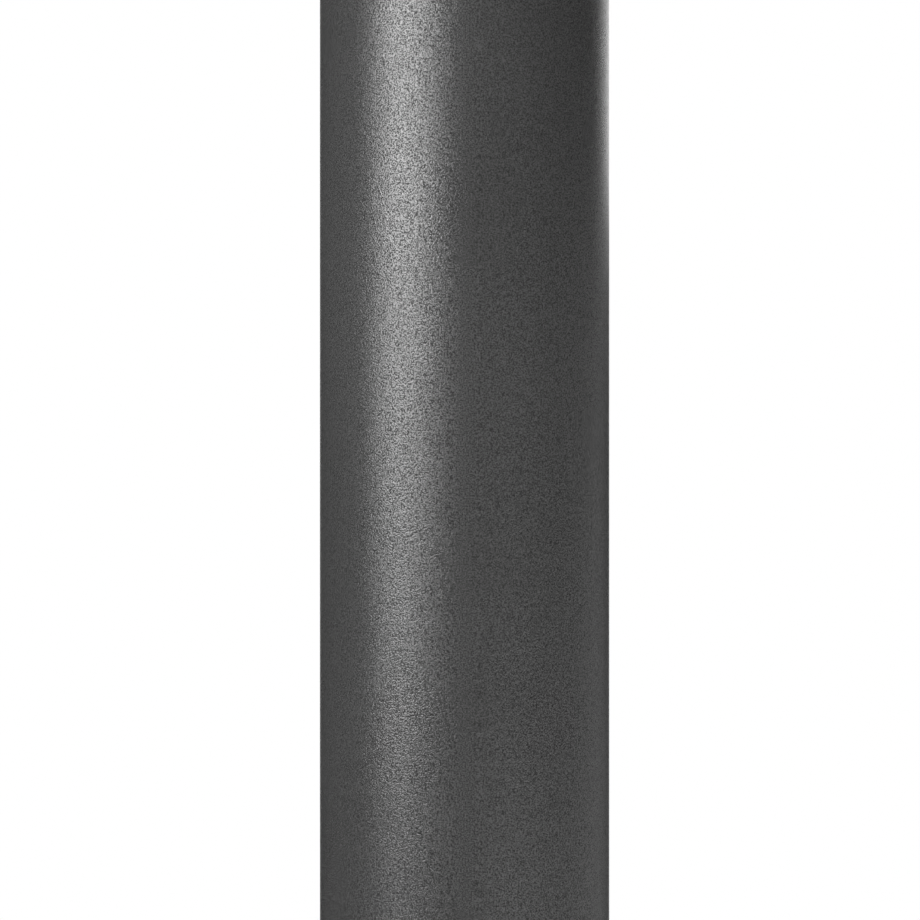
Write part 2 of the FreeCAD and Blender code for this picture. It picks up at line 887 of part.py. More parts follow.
def make_cutout_tray():
    """The cut-out's moulded tray with its cable holes and cover bosses, and the grommets in the holes."""
    half = d.cutout_width / 2
    wall = d.cutout_wall
    low = cutout_foot
    high = cutout_foot + d.cutout_height
    inlet = d.cable_inlet / 2
    inlet_y = cutout_back - d.cutout_depth / 2
    inlets = [(-d.inlet_spread, low, UNDER), (d.inlet_spread, low, UNDER), (d.outlet_offset, high, UP)]
    tray = block(-half, half, cutout_front, cutout_back, low, high)
    cavity = block(-(half - wall), half - wall, cutout_front - 1, tray_floor, low + wall, high - wall)
    boss = d.boss_diameter / 2
    bosses = [rod(boss, d.cutout_depth, x, cutout_back, z, OUT) for x, z in cover_screw_places()]
    pilot = d.cover_screw / 2 + d.fit_gap
    cuts = [rod(inlet, wall * 4, x, inlet_y, z - wall * 2) for x, z, turn in inlets]
    cuts += [rod(pilot, 12, x, cutout_front - 1, z, BACK) for x, z in cover_screw_places()]
    cuts.append(rod(d.fixing_bolt / 2 + d.running_gap, tube_inner, 0, 0, fixing_height, BACK))
    node("cutout_tray", without(fused(without(tray, cavity), *bosses), *cuts))

    neck = inlet - d.running_gap
    bore = inlet - 2.5
    back_lip = neck + 0.8
    flange = inlet + 1.5
    through = wall + d.fit_gap
    profile = [
        (bore, -(through + d.grommet_lip)),
        (back_lip, -(through + d.grommet_lip)),
        (back_lip, -through),
        (neck, -through),
        (neck, d.fit_gap),
        (flange, d.fit_gap),
        (flange, d.grommet_lip),
        (bore, d.grommet_lip),
    ]
    node("cable_grommets", together(*[place(turned(profile), x, inlet_y, z, turn) for x, z, turn in inlets]))


def make_cutout_cover():
    """The cover with a window for each fuse carrier, and its two screws."""
    half = d.cutout_width / 2
    cover_back = cover_front + d.cutout_wall
    high = cutout_foot + d.cutout_height
    lid = block(-half, half, cover_front, cover_back, cutout_foot, high)
    slack = d.carrier_width / 2 + d.carrier_slack
    window_low = carrier_low - d.carrier_slack
    window_high = carrier_high + d.carrier_slack
    cuts = []
    for x in (-d.carrier_middle, d.carrier_middle):
        cuts.append(block(x - slack, x + slack, cover_front - 1, cover_back + 1, window_low, window_high))
    screw = d.cover_screw / 2
    cuts += [rod(screw + d.running_gap, tube_inner, x, 0, z, OUT) for x, z in cover_screw_places()]
    node("cutout_cover", without(lid, *cuts))

    screws = []
    slot_half = 0.4
    head_height = 1.8
    head_base = cover_front - d.fit_gap
    head_front = head_base - head_height
    for x, z in cover_screw_places():
        head = rod(d.cover_screw, head_height, x, head_base, z, OUT)
        shank = rod(screw, 10, x, head_base, z, BACK)
        slot = block(x - 4, x + 4, head_front - 1, head_front + 0.8, z - slot_half, z + slot_half)
        screws.append(without(fused(head, shank), slot))
    node("cutout_cover_screws", together(*screws))


def make_cutout_fixing():
    """The bolt through the tray and the sliding nut in the rail that it draws up."""
    radius = d.fixing_bolt / 2
    seat = tray_floor - d.fit_gap
    head = prism(6, hex_radius(d.fixing_bolt * 1.6), 4, 0, seat, fixing_height, OUT)
    shank = rod(radius, d.rail_depth - 1, 0, seat, fixing_height, BACK)
    node("cutout_fixing_bolt", fused(head, shank))
    nut_half = d.rail_width / 2 - d.rail_wall - 1
    nut_front = rail_front + d.rail_wall + d.fit_gap
    nut = block(-nut_half, nut_half, nut_front, nut_front + 5, fixing_height - 6, fixing_height + 6)
    node("rail_nut", without(nut, rod(radius + d.fit_gap, tube_inner, 0, 0, fixing_height, BACK)))


def make_fuses():
    """Two cartridge fuses, the base and spring clips they sit in, and the carriers that pull them out."""
    radius = d.fuse_diameter / 2
    body_radius = radius - 0.6
    fuse_high = fuse_low + d.fuse_length
    profile = [
        (0, 0),
        (radius, 0),
        (radius, d.fuse_cap),
        (body_radius, d.fuse_cap),
        (body_radius, d.fuse_length - d.fuse_cap),
        (radius, d.fuse_length - d.fuse_cap),
        (radius, d.fuse_length),
        (0, d.fuse_length),
    ]
    half = d.carrier_width / 2
    arm = 6
    arm_half = 5
    face_back = cover_front - d.carrier_slack
    face_front = face_back - d.carrier_face
    face_end = cover_front + d.cutout_wall + 4
    middle = (carrier_low + carrier_high) / 2
    reach = radius + d.running_gap
    jaw = reach + d.clip_thickness
    clips = []
    for x, side in ((-d.carrier_middle, "left"), (d.carrier_middle, "right")):
        node(f"fuse_{side}", place(turned(profile), x, fuse_y, fuse_low))
        face = block(x - half, x + half, face_front, face_end, carrier_low, carrier_high)
        grip = block(x - 2, x + 2, face_front - d.grip_reach, face_front + 1, middle - 9, middle + 9)
        arms = []
        for low in (fuse_low - d.fit_gap - arm, fuse_high + d.fit_gap):
            arms.append(block(x - arm_half, x + arm_half, face_back, fuse_y + radius, low, low + arm))
        node(f"fuse_carrier_{side}", fused(face, grip, *arms))
        for low in (fuse_low + 1, fuse_high - d.fuse_cap + 1):
            high = low + d.fuse_cap - 2
            outside = block(x - jaw, x + jaw, fuse_y - 3, clip_back, low, high)
            inside = block(x - reach, x + reach, fuse_y - 4, fuse_y + reach, low - 1, high + 1)
            clips.append(without(outside, inside))
    node("fuse_clips", together(*clips))
    base_half = d.cutout_width / 2 - d.cutout_wall - 1
    base_front = clip_back + d.fit_gap
    base_back = tray_floor - d.fit_gap
    node("fuse_base", block(-base_half, base_half, base_front, base_back, carrier_low, carrier_high))


def make_terminals():
    """The terminal block, with a row of clamping screws at its top and one at its foot."""
    low = cutout_foot + d.cutout_wall + 5
    pole_count = int(d.terminal_poles.value)
    half = d.terminal_poles * d.terminal_pitch / 2
    back = tray_floor - d.fit_gap
    front = back - d.terminal_depth
    well = 2.6
    wire_hole = 2.3
    well_depth = 7
    head_height = 4
    slot_half = 0.4
    edge = 8
    base = block(-half, half, front, back, low, low + d.terminal_height)
    cuts = []
    screws = []
    for pole in range(pole_count):
        x = d.terminal_pitch * pole - half + d.terminal_pitch / 2
        cuts.append(rod(wire_hole, d.terminal_height + 2, x, front + well_depth + 4, low - 1))
        for z in (low + edge, low + d.terminal_height - edge):
            cuts.append(rod(well, well_depth + 1, x, front + well_depth, z, OUT))
            head_back = front + well_depth - d.running_gap
            head_front = head_back - head_height
            head = rod(well - d.running_gap * 2, head_height, x, head_back, z, OUT)
            slot = block(x - 3, x + 3, head_front - 1, head_front + 0.8, z - slot_half, z + slot_half)
            screws.append(without(head, slot))
    node("terminal_block", without(base, *cuts))
    node("terminal_screws", together(*screws))


# ---- lantern ----


def make_socket():
    """The cast socket that slips over the post top, and its six grub screws."""
    inner = tube_outer + d.post_clearance
    outer = inner + d.socket_wall
    throat = d.stem_diameter / 2 - d.stem_wall + 1
    lip = 8
    neck_drop = 5
    roof = d.shaft_top + d.socket_plate
    body = turned(
        [
            (inner, d.shaft_top - d.socket_grip),
            (outer, d.shaft_top - d.socket_grip),
            (outer, d.shaft_top - neck_drop),
            (socket_radius, socket_top - lip),
            (socket_radius, socket_top),
            (throat, socket_top),
            (throat, socket_top - d.socket_plate),
            (socket_radius - lip, socket_top - d.socket_plate),
            (outer - d.socket_wall / 2, roof),
            (throat, roof),
            (throat, d.shaft_top + d.fit_gap),
            (inner, d.shaft_top + d.fit_gap),
        ]
    )
    radius = d.grub_screw / 2
    start = tube_outer + d.fit_gap
    key_start = start + d.socket_wall / 2
    holes = []
    screws = []
    for drop in (d.grub_drop, d.grub_drop + d.grub_spacing):
        z = d.shaft_top - drop
        for angle in (30, 150, 270):
            facing = Rotation(Vector(0, 0, 1), angle).multiply(ACROSS)
            east, north = math.cos(math.radians(angle)), math.sin(math.radians(angle))
            holes.append(rod(radius + d.fit_gap, outer, start * east / 2, start * north / 2, z, facing))
            screw = rod(radius, d.socket_wall, start * east, start * north, z, facing)
            key = prism(6, radius / 2, d.socket_wall, key_start * east, key_start * north, z, facing)
            screws.append(without(screw, key))
    drill = d.stem_screw / 2 + d.running_gap
    drill_low = socket_top - d.socket_plate * 1.5
    holes += [rod(drill, d.socket_plate * 2, x, y, drill_low) for x, y in stem_screw_places()]
    node("lantern_socket", without(body, *holes))
    node("socket_grub_screws", together(*screws))


def make_stem():
    """The tube that carries the canopy through the bowl, its foot clamping the bowl, and its eight screws."""
    outer = d.stem_diameter / 2
    inner = outer - d.stem_wall
    rim = d.seal_thickness + d.bowl_wall + d.running_gap * 2
    foot_top = rim + d.bowl_wall
    body = turned(
        [
            (inner, 0),
            (stem_spigot, 0),
            (stem_spigot, rim),
            (d.stem_foot, rim),
            (d.stem_foot, foot_top),
            (outer, foot_top),
            (outer, d.bowl_height - d.stem_plate),
            (d.stem_head, d.bowl_height - d.stem_plate),
            (d.stem_head, d.bowl_height),
            (inner, d.bowl_height),
        ]
    )
    place(body, 0, 0, socket_top + d.fit_gap)
    radius = d.stem_screw / 2
    drill = radius + d.moving_gap
    holes = [rod(drill, d.bowl_height + 10, x, y, socket_top - 2) for x, y in stem_screw_places()]
    node("lantern_stem", without(body, *holes))

    screws = []
    head_height = d.stem_screw
    key = radius * 1.15
    key_depth = d.stem_screw / 2
    foot_seat = socket_top + foot_top + d.running_gap
    head_seat = pan_level - d.stem_plate
    foot_length = foot_top + d.socket_plate + 2
    head_length = d.stem_plate + d.pan_plate - 0.5
    for x, y in stem_screw_places():
        foot_head = rod(d.stem_screw * 0.9, head_height, x, y, foot_seat)
        foot_shank = rod(radius, foot_length, x, y, foot_seat - foot_length)
        foot_key = prism(6, key, head_height, x, y, foot_seat + key_depth)
        screws.append(without(fused(foot_head, foot_shank), foot_key))
        top_head = rod(d.stem_screw * 0.9, head_height, x, y, head_seat - head_height)
        top_shank = rod(radius, head_length, x, y, head_seat)
        top_key = prism(6, key, head_height, x, y, head_seat - head_height - key_depth)
        screws.append(without(fused(top_head, top_shank), top_key))
    node("stem_screws", together(*screws))


def make_bowl():
    """The clear conical bowl, and the flat seals at its foot and its mouth."""
    foot = socket_top + d.seal_thickness + d.fit_gap
    mouth = pan_level - d.seal_thickness - 1
    clamp = stem_spigot + 2
    slant_wall = d.bowl_wall * 1.15
    bowl = turned(
        [
            (clamp, foot),
            (bowl_foot, foot),
            (d.bowl_mouth, mouth),
            (d.bowl_mouth - slant_wall, mouth),
            (bowl_foot - slant_wall / 2, foot + d.bowl_wall),
            (clamp, foot + d.bowl_wall),
        ]
    )
    node("bowl", bowl)
    foot_seal = rectangle(clamp, socket_top + d.fit_gap, bowl_foot + 1, socket_top + d.seal_thickness)
    node("bowl_foot_seal", turned(foot_seal))
    mouth_seal = rectangle(d.bowl_mouth - 7, mouth + d.fit_gap, d.bowl_mouth + 3, pan_level - d.fit_gap)
    node("bowl_mouth_seal", turned(mouth_seal))


def make_light_engine():
    """The ring of light sources under the pan: board, LED packages, clear lens ring and its screws."""
    top = pan_level - d.fit_gap
    board_low = top - d.board_thickness
    screw = d.lens_screw / 2
    clearance = screw + d.running_gap
    lens_low = pan_level - d.lens_depth
    board = turned(rectangle(board_inner, board_low, board_outer, top))
    board_holes = [rod(clearance, d.lens_depth, x, y, lens_low) for x, y in lens_screw_places()]
    node("led_board", without(board, *board_holes))

    half = d.led_size / 2
    packages = []
    for radius, count in ((led_inner_ring, 16), (led_outer_ring, 24)):
        for x, y in around(radius, count):
            low = board_low - d.fit_gap - d.led_height
            packages.append(block(x - half, x + half, y - half, y + half, low, board_low - d.fit_gap))
    node("led_packages", together(*packages))

    inner = board_inner - 4
    outer = board_outer + 4
    wall = d.lens_wall
    lens = turned(
        [
            (inner, lens_low),
            (outer, lens_low),
            (outer, top),
            (outer - wall, top),
            (outer - wall, lens_low + wall),
            (inner + wall, lens_low + wall),
            (inner + wall, top),
            (inner, top),
        ]
    )
    lens_holes = [rod(clearance, wall * 2, x, y, lens_low - 1) for x, y in lens_screw_places()]
    node("lens_ring", without(lens, *lens_holes))

    screws = []
    head_height = 2
    head_low = lens_low - d.fit_gap - head_height
    for x, y in lens_screw_places():
        head = rod(d.lens_screw, head_height, x, y, head_low)
        shank = rod(screw, d.lens_depth + d.pan_plate / 2 + head_height, x, y, head_low)
        slot = block(x - d.lens_screw - 1, x + d.lens_screw + 1, y - 0.5, y + 0.5, head_low - 1, head_low + 1)
        screws.append(without(fused(head, shank), slot))
    node("lens_screws", together(*screws))


def make_pan():
    """The canopy's fixed pan, with the hinge's outer knuckles behind and the screw lug in front."""
    throat = d.stem_diameter / 2 - d.stem_wall + 1
    skirt = d.bowl_mouth + 6
    plate = d.pan_plate
    body = turned(
        [
            (throat, pan_level + d.fit_gap),
            (skirt, pan_level + d.fit_gap),
            (skirt, pan_level - d.pan_skirt),
            (skirt + plate, pan_level - d.pan_skirt),
            (skirt + plate, pan_level),
            (pan_radius, pan_level),
            (pan_radius, pan_level + d.pan_rim),
            (pan_radius - plate, pan_level + d.pan_rim),
            (pan_radius - plate, pan_level + plate),
            (throat, pan_level + plate),
        ]
    )
    knuckle = d.hinge_knuckle / 2
    near = d.hinge_width / 4 - 1 + d.moving_gap
    far = d.hinge_width / 2
    rim_inside = pan_radius - plate / 2
    pieces = [body]
    for low, high in ((near, far), (-far, -near)):
        pieces.append(rod(knuckle, far - near, low, hinge_y, hinge_z, ACROSS))
        pieces.append(block(low, high, rim_inside, hinge_y, hinge_z - knuckle, hinge_z - 1))
    lug_half = d.lug_width / 2
    lug_low = pan_level - plate - 2
    pieces.append(block(-lug_half, lug_half, lug_y - lug_half, -rim_inside, lug_low, pan_level + plate))
    cuts = [
        rod(d.hinge_pin / 2 + d.fit_gap, d.hinge_width + 10, -far - 5, hinge_y, hinge_z, ACROSS),
        rod(d.lid_screw / 2 + d.moving_gap, plate * 4, 0, lug_y, lug_low - 1),
    ]
    drill = d.stem_screw / 2 + d.running_gap * 2
    cuts += [rod(drill, plate * 2, x, y, pan_level - 1) for x, y in stem_screw_places()]
    tapped = d.lens_screw / 2 + d.fit_gap
    cuts += [rod(tapped, plate * 2, x, y, pan_level - 1) for x, y in lens_screw_places()]
    node("canopy_pan", without(fused(*pieces), *cuts))


def make_lid():
    """The hinged domed lid, the hinge pin, the captive screw and the seal on the pan's rim."""
    inner = pan_radius + d.lid_gap
    outer = inner + d.lid_wall
    rim = pan_level + d.pan_rim + d.lid_headroom
    crown = rim + d.lid_crown
    dome = (outer * outer + d.lid_crown * d.lid_crown) / (2 * d.lid_crown)
    dome_inside = dome - d.lid_wall
    inner_crown = crown - d.lid_wall
    inner_rim = crown - dome + root(dome_inside * dome_inside - inner * inner)
    below = lid_skirt_end - 1
    body = turned([(0, lid_skirt_end), (outer, lid_skirt_end), (outer, rim), (0, crown, dome)])
    round_edge(body, d.lid_wall * 2, outer, rim)
    groove(body, [(0, below), (inner, below), (inner, inner_rim), (0, inner_crown, dome_inside)])

    knuckle = d.hinge_knuckle / 2
    near = d.hinge_width / 4 - 1
    leaf_low = hinge_z + knuckle * 0.6
    leaf_high = lid_skirt_end + 6
    lug_half = d.lug_width / 2
    lug_low = lid_skirt_end + 4
    lug_high = lug_low + d.lug_thickness
    pieces = [
        body,
        rod(knuckle, near * 2, -near, hinge_y, hinge_z, ACROSS),
        block(-near, near, inner + 1, hinge_y + knuckle * 0.4, leaf_low, leaf_high),
        block(-lug_half, lug_half, lug_y - lug_half, -(inner + 1), lug_low, lug_high),
    ]
    pin_bore = d.hinge_pin / 2 + d.running_gap
    pin_hole = rod(pin_bore, d.hinge_width, -d.hinge_width / 2, hinge_y, hinge_z, ACROSS)
    screw_hole = rod(d.lid_screw / 2 + d.fit_gap, d.lug_thickness * 2, 0, lug_y, lug_low - 1)
    node("canopy_lid", without(fused(*pieces), pin_hole, screw_hole))

    pin_length = d.hinge_width + 4
    node("hinge_pin", rod(d.hinge_pin / 2, pin_length, -pin_length / 2, hinge_y, hinge_z, ACROSS))
    head_low = lug_high + d.fit_gap
    shank_low = pan_level - d.pan_plate
    shank = rod(d.lid_screw / 2, head_low - shank_low, 0, lug_y, shank_low)
    node("lid_screw", fused(rod(d.lid_screw_head / 2, d.lid_screw_height, 0, lug_y, head_low), shank))
    seal_low = pan_level + d.pan_rim + d.fit_gap
    seal = rectangle(pan_radius - d.pan_plate + 0.5, seal_low, pan_radius - 0.5, inner_rim)
    node("lid_seal", turned(seal))


def make_gear():
    """The control gear on the pan: LED driver, surge protector, terminals and their screws."""
    floor = pan_level + d.pan_plate + d.fit_gap
    foot = 3
    tab = 9
    tab_half = 6
    screw = 2
    head_height = 2.4
    boxes = {
        "led_driver": (0, 77, 156, 50, 30),
        "surge_protector": (-62, -76, 60, 40, 24),
        "gear_terminals": (54, -73, 64, 30, 20),
    }
    screws = []
    for label, (x, y, length, width, height) in boxes.items():
        end = length / 2
        parts = [
            block(x - end, x + end, y - width / 2, y + width / 2, floor, floor + height),
            block(x - end - tab, x + end + tab, y - tab_half, y + tab_half, floor, floor + foot),
        ]
        holes = []
        for screw_x in (x - end - tab / 2, x + end + tab / 2):
            holes.append(rod(screw + d.running_gap, foot + 2, screw_x, y, floor - 1))
            head = rod(screw * 1.8, head_height, screw_x, y, floor + foot + d.fit_gap)
            shank = rod(screw, foot, screw_x, y, floor + d.fit_gap)
            screws.append(fused(head, shank))
        node(label, without(fused(*parts), *holes))
    node("gear_screws", together(*screws))


def check_document():
    """Stops on any failed feature and on any sub-part whose shape is empty or not valid."""
    for thing in doc.Objects:
        failed = {"Invalid", "Error"} & set(thing.State)
        if failed:
            raise RuntimeError(f"{thing.Name} ({thing.Label}) is {sorted(failed)}")
    for thing in nodes:
        if thing.Shape.isNull() or not thing.Shape.isValid() or not thing.Shape.Solids:
            raise RuntimeError(f"{thing.Label} has no valid solid")


def write_parts():
    os.makedirs("parts", exist_ok=True)
    for thing in nodes:
        thing.Shape.exportStep(f"parts/{thing.Label}.step")


make_base_flange()
make_shaft()
make_door_frame()
make_door()
make_lock()
make_latch()
make_rail()
make_earth_terminal()
make_cutout_tray()
make_cutout_cover()
make_cutout_fixing()
make_fuses()
make_terminals()
make_socket()
make_stem()
make_bowl()
make_light_engine()
make_pan()
make_lid()
make_gear()
doc.recompute()
check_document()
write_parts()
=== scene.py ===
"""The looks of a street lamp post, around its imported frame: the coated column with its flange, weld and door,
the lock, the clear lantern with its lens ring, and a finish for every piece inside."""

import json
import math

import bmesh
import bpy
from bpy.props import FloatProperty, FloatVectorProperty, IntProperty, PointerProperty
from mathutils import Matrix, Vector


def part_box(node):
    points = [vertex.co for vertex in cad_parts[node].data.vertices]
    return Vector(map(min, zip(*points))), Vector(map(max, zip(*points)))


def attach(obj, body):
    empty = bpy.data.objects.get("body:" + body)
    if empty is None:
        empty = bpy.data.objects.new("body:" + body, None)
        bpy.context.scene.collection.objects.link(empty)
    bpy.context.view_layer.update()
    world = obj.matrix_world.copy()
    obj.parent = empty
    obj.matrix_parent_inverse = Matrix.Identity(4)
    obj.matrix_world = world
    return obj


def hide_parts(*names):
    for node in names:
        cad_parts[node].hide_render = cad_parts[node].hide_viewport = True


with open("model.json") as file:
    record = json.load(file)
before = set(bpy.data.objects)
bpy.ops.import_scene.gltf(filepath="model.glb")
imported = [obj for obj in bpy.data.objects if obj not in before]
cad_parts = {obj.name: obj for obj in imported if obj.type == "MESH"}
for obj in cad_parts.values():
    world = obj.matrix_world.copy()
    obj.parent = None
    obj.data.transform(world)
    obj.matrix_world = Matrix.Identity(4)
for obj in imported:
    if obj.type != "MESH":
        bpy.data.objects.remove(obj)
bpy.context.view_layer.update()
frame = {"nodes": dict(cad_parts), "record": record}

bl_info = {
    "name": "Lamp Post Looks",
    "version": (1, 0, 0),
    "blender": (4, 5, 0),
    "location": "3D View > Sidebar > Lamp Post",
    "description": "Models the fine pieces of a street lamp post and gives every piece its finish",
    "category": "Object",
}

MM = 0.001

# sizes that several pieces share, in millimetres unless a name says otherwise
TUBE_WALL = 3
FIT_GAP = 0.05
THROAT = 22  # radius of the cable's way through the socket and the pan
ANCHOR_ANGLE = 45  # degrees
ANCHOR_COUNT = 4
STEM_SCREW_CIRCLE = 42
LENS_SCREW_CIRCLE = 125
LENS_SCREW_COUNT = 8
LENS_SCREW_FIRST = 22.5  # degrees
LENS_SCREW_HOLE = 2.05


def srgb(code):
    """The linear colour of an sRGB hex code such as 3a3b3d."""
    parts = [int(code[i : i + 2], 16) / 255 for i in (0, 2, 4)]
    return [p / 12.92 if p <= 0.04045 else ((p + 0.055) / 1.055) ** 2.4 for p in parts]


# ---- sizes and colours that a user would change ----


class LampPostShape(bpy.types.PropertyGroup):
    """How finely the pieces are modelled, and the small sizes that only the looks need."""

    round_steps: IntProperty(
        name="Round steps", description="Faces round a turned piece", default=192, min=32, max=384
    )
    small_steps: IntProperty(
        name="Small round steps",
        description="Faces round a small turned piece",
        default=64,
        min=16,
        max=128,
    )
    edge: FloatProperty(
        name="Edge softening",
        description="Width of a broken edge",
        default=0.38 * MM,
        unit="LENGTH",
        precision=5,
    )
    weld_pitch: FloatProperty(
        name="Weld ripple",
        description="Distance between ripples of the weld",
        default=3.2 * MM,
        unit="LENGTH",
    )
    lens_dome: FloatProperty(
        name="Lens dome",
        description="Radius of the dome over each light source",
        default=6.5 * MM,
        unit="LENGTH",
    )


class LampPostFinish(bpy.types.PropertyGroup):
    """The finish of the coated pieces."""

    # darker end of the pebbles' base colour: the coat with painted shade in the pits
    coat: FloatVectorProperty(
        name="Coat", description="Colour of the powder coat", subtype="COLOR", default=srgb("292929")
    )
    # lighter end of the pebbles' base colour: a painted highlight on the tips
    coat_tip_painted_highlight: FloatVectorProperty(
        name="Coat highlights",
        description="Colour of the coat's raised grain",
        subtype="COLOR",
        default=srgb("414141"),
    )
    grain: FloatProperty(
        name="Coat grain",
        description="Size of the coat's fine texture",
        default=0.38 * MM,
        unit="LENGTH",
        precision=5,
    )
    coat_roughness: FloatProperty(
        name="Coat roughness", description="Roughness of the powder coat", default=0.28, min=0, max=1
    )


class LampPostStage(bpy.types.PropertyGroup):
    """The camera, the floor and the lights."""

    camera_height: FloatProperty(
        name="Camera height", description="Height above ground", default=1.6, unit="LENGTH"
    )
    camera_distance: FloatProperty(
        name="Camera distance", description="Distance from the column's axis", default=1.343, unit="LENGTH"
    )
    camera_side: FloatProperty(
        name="Camera side step", description="Sideways place of the camera", default=-1.2 * MM, unit="LENGTH"
    )
    lens: FloatProperty(name="Lens", description="Focal length", default=200, subtype="DISTANCE_CAMERA")
    floor_radius: FloatProperty(
        name="Floor radius", description="Radius of the floor", default=8, unit="LENGTH"
    )


def settings():
    """The shape, the finish and the stage that the user has set."""
    scene = bpy.context.scene
    return scene.lamp_post_shape, scene.lamp_post_finish, scene.lamp_post_stage


# ---- materials ----


def add(tree, kind, inputs=None, **values):
    """Adds a node with its settings. An input is a number, a colour or the socket that feeds it."""
    node = tree.nodes.new(kind)
    for name, value in values.items():
        setattr(node, name, value)
    for name, value in (inputs or {}).items():
        if isinstance(value, bpy.types.NodeSocket):
            tree.links.new(value, node.inputs[name])
        else:
            node.inputs[name].default_value = value
    return node


def colour(code):
    return (*srgb(code), 1.0)


def new_material(name):
    """An empty node material, its tree, and the object coordinates that its patterns read."""
    material = bpy.data.materials.new(name)
    material.use_nodes = True
    tree = material.node_tree
    tree.nodes.clear()
    place = add(tree, "ShaderNodeTexCoord").outputs["Object"]
    return material, tree, place


def blend(tree, factor, first, second):
    """A colour between two linear colours, by a pattern."""
    inputs = {"Factor": factor, 6: (*first, 1.0), 7: (*second, 1.0)}
    return add(tree, "ShaderNodeMix", inputs, data_type="RGBA").outputs[2]


def noise(tree, place, scale, detail):
    inputs = {"Vector": place, "Scale": scale, "Detail": detail}
    return add(tree, "ShaderNodeTexNoise", inputs).outputs["Fac"]


def bumped(tree, height, strength, depth):
    inputs = {"Height": height, "Strength": strength, "Distance": depth}
    return add(tree, "ShaderNodeBump", inputs).outputs["Normal"]


def between(tree, value, low, high):
    inputs = {"Value": value, "To Min": low, "To Max": high}
    return add(tree, "ShaderNodeMapRange", inputs).outputs["Result"]


def close_material(tree, shader):
    add(tree, "ShaderNodeOutputMaterial", {"Surface": shader.outputs["BSDF"]})


def spread(tree, value, low, high, tight=0.15):
    """Stretches the middle of a noise over a range, so that its contrast is even."""
    return add(
        tree,
        "ShaderNodeMapRange",
        {"Value": value, "From Min": 0.5 - tight, "From Max": 0.5 + tight, "To Min": low, "To Max": high},
    ).outputs["Result"]


COAT_CLOUD = 22.0  # clouds about 45 mm across, as the sprayed coat's thickness drifts
COAT_SWING = 0.02


def powder_coat(name, grain_share=1.0):
    """Fine-texture polyester powder coat: pebbles whose glossy tips sparkle, with painted shade darkening their
    pits and a painted highlight lightening their tips in the base colour.
    """
    finish = settings()[1]
    material, tree, place = new_material(name)
    scale = 1 / (finish.grain * grain_share)
    pebbles = noise(tree, place, scale, 1.0)
    cloud = noise(tree, place, COAT_CLOUD, 3.0)
    # painted shade in the pebbles' pits and a painted highlight on their tips, blended into the base colour
    shade = blend(tree, spread(tree, pebbles, 0.0, 1.0, 0.18), finish.coat, finish.coat_tip_painted_highlight)
    drift = spread(tree, cloud, 0.96, 1.04, 0.2)
    uneven = add(tree, "ShaderNodeHueSaturation", {"Color": shade, "Value": drift})
    low, high = finish.coat_roughness - COAT_SWING, finish.coat_roughness + COAT_SWING
    shader = add(
        tree,
        "ShaderNodeBsdfPrincipled",
        {
            "Base Color": uneven.outputs["Color"],
            "Roughness": spread(tree, cloud, low, high, 0.2),
            "IOR": 1.5,
            # the tips reflect and the pits hardly do, which is what sparkles
            "Specular IOR Level": spread(tree, pebbles, 0.08, 0.92, 0.15),
            "Normal": bumped(tree, pebbles, 0.8, 0.14 * MM),
        },
    )
    close_material(tree, shader)
    return material


def grained_metal(name, base, tint, roughness, stretch, pitch, depth):
    """A bare metal whose drawing, rolling or turning lines run along the short side of stretch."""
    material, tree, place = new_material(name)
    stretched = add(tree, "ShaderNodeMapping", {"Vector": place, "Scale": stretch}).outputs["Vector"]
    lines = noise(tree, stretched, 1 / pitch, 3.0)
    stain = noise(tree, place, 60.0, 4.0)
    shader = add(
        tree,
        "ShaderNodeBsdfPrincipled",
        {
            "Base Color": blend(tree, stain, srgb(base), srgb(tint)),
            "Metallic": 1.0,
            "Roughness": between(tree, lines, roughness - 0.08, roughness + 0.12),
            "Normal": bumped(tree, lines, 0.35, depth),
        },
    )
    close_material(tree, shader)
    return material


def zinc_plate():
    """Bright zinc plating on pressed steel: faint yellow and blue clouds over a soft satin."""
    material, tree, place = new_material("Zinc-plated steel")
    cells = add(tree, "ShaderNodeTexVoronoi", {"Vector": place, "Scale": 1 / (3 * MM)})
    cloud = noise(tree, place, 90.0, 3.0)
    shader = add(
        tree,
        "ShaderNodeBsdfPrincipled",
        {
            "Base Color": blend(tree, cloud, srgb("b9bcc2"), srgb("c9c4b4")),
            "Metallic": 1.0,
            "Roughness": between(tree, cells.outputs["Distance"], 0.26, 0.4),
        },
    )
    close_material(tree, shader)
    return material


def moulded(name, base, tint, roughness, grain, depth, ior=1.5):
    """A moulded plastic, rubber or glazed body: an even colour with the fine grain of its tool."""
    material, tree, place = new_material(name)
    tool = noise(tree, place, 1 / grain, 2.0)
    cloud = noise(tree, place, 70.0, 2.0)
    shader = add(
        tree,
        "ShaderNodeBsdfPrincipled",
        {
            "Base Color": blend(tree, cloud, srgb(base), srgb(tint)),
            "Roughness": between(tree, tool, roughness - 0.06, roughness + 0.06),
            "IOR": ior,
            "Normal": bumped(tree, tool, 0.4, depth),
        },
    )
    close_material(tree, shader)
    return material


def clear(name, tint, ior, roughness, wave):
    """A clear moulding: see-through, with the slight long waves that a moulded wall has."""
    material, tree, place = new_material(name)
    waves = noise(tree, place, 1 / wave, 1.0)
    shader = add(
        tree,
        "ShaderNodeBsdfPrincipled",
        {
            "Base Color": colour(tint),
            "Roughness": roughness,
            "IOR": ior,
            "Transmission Weight": 1.0,
            "Normal": bumped(tree, waves, 0.12, 0.1 * MM),
        },
    )
    close_material(tree, shader)
    return material


def phosphor():
    """The light source's face: speckled yellow phosphor under glossy clear silicone."""
    material, tree, place = new_material("LED phosphor")
    speck = noise(tree, place, 1 / (0.4 * MM), 2.0)
    shade = blend(tree, speck, srgb("e9c44c"), srgb("f4dc8a"))
    shader = add(
        tree,
        "ShaderNodeBsdfPrincipled",
        {"Base Color": shade, "Roughness": 0.3, "Coat Weight": 0.6, "Coat Roughness": 0.1},
    )
    close_material(tree, shader)
    return material


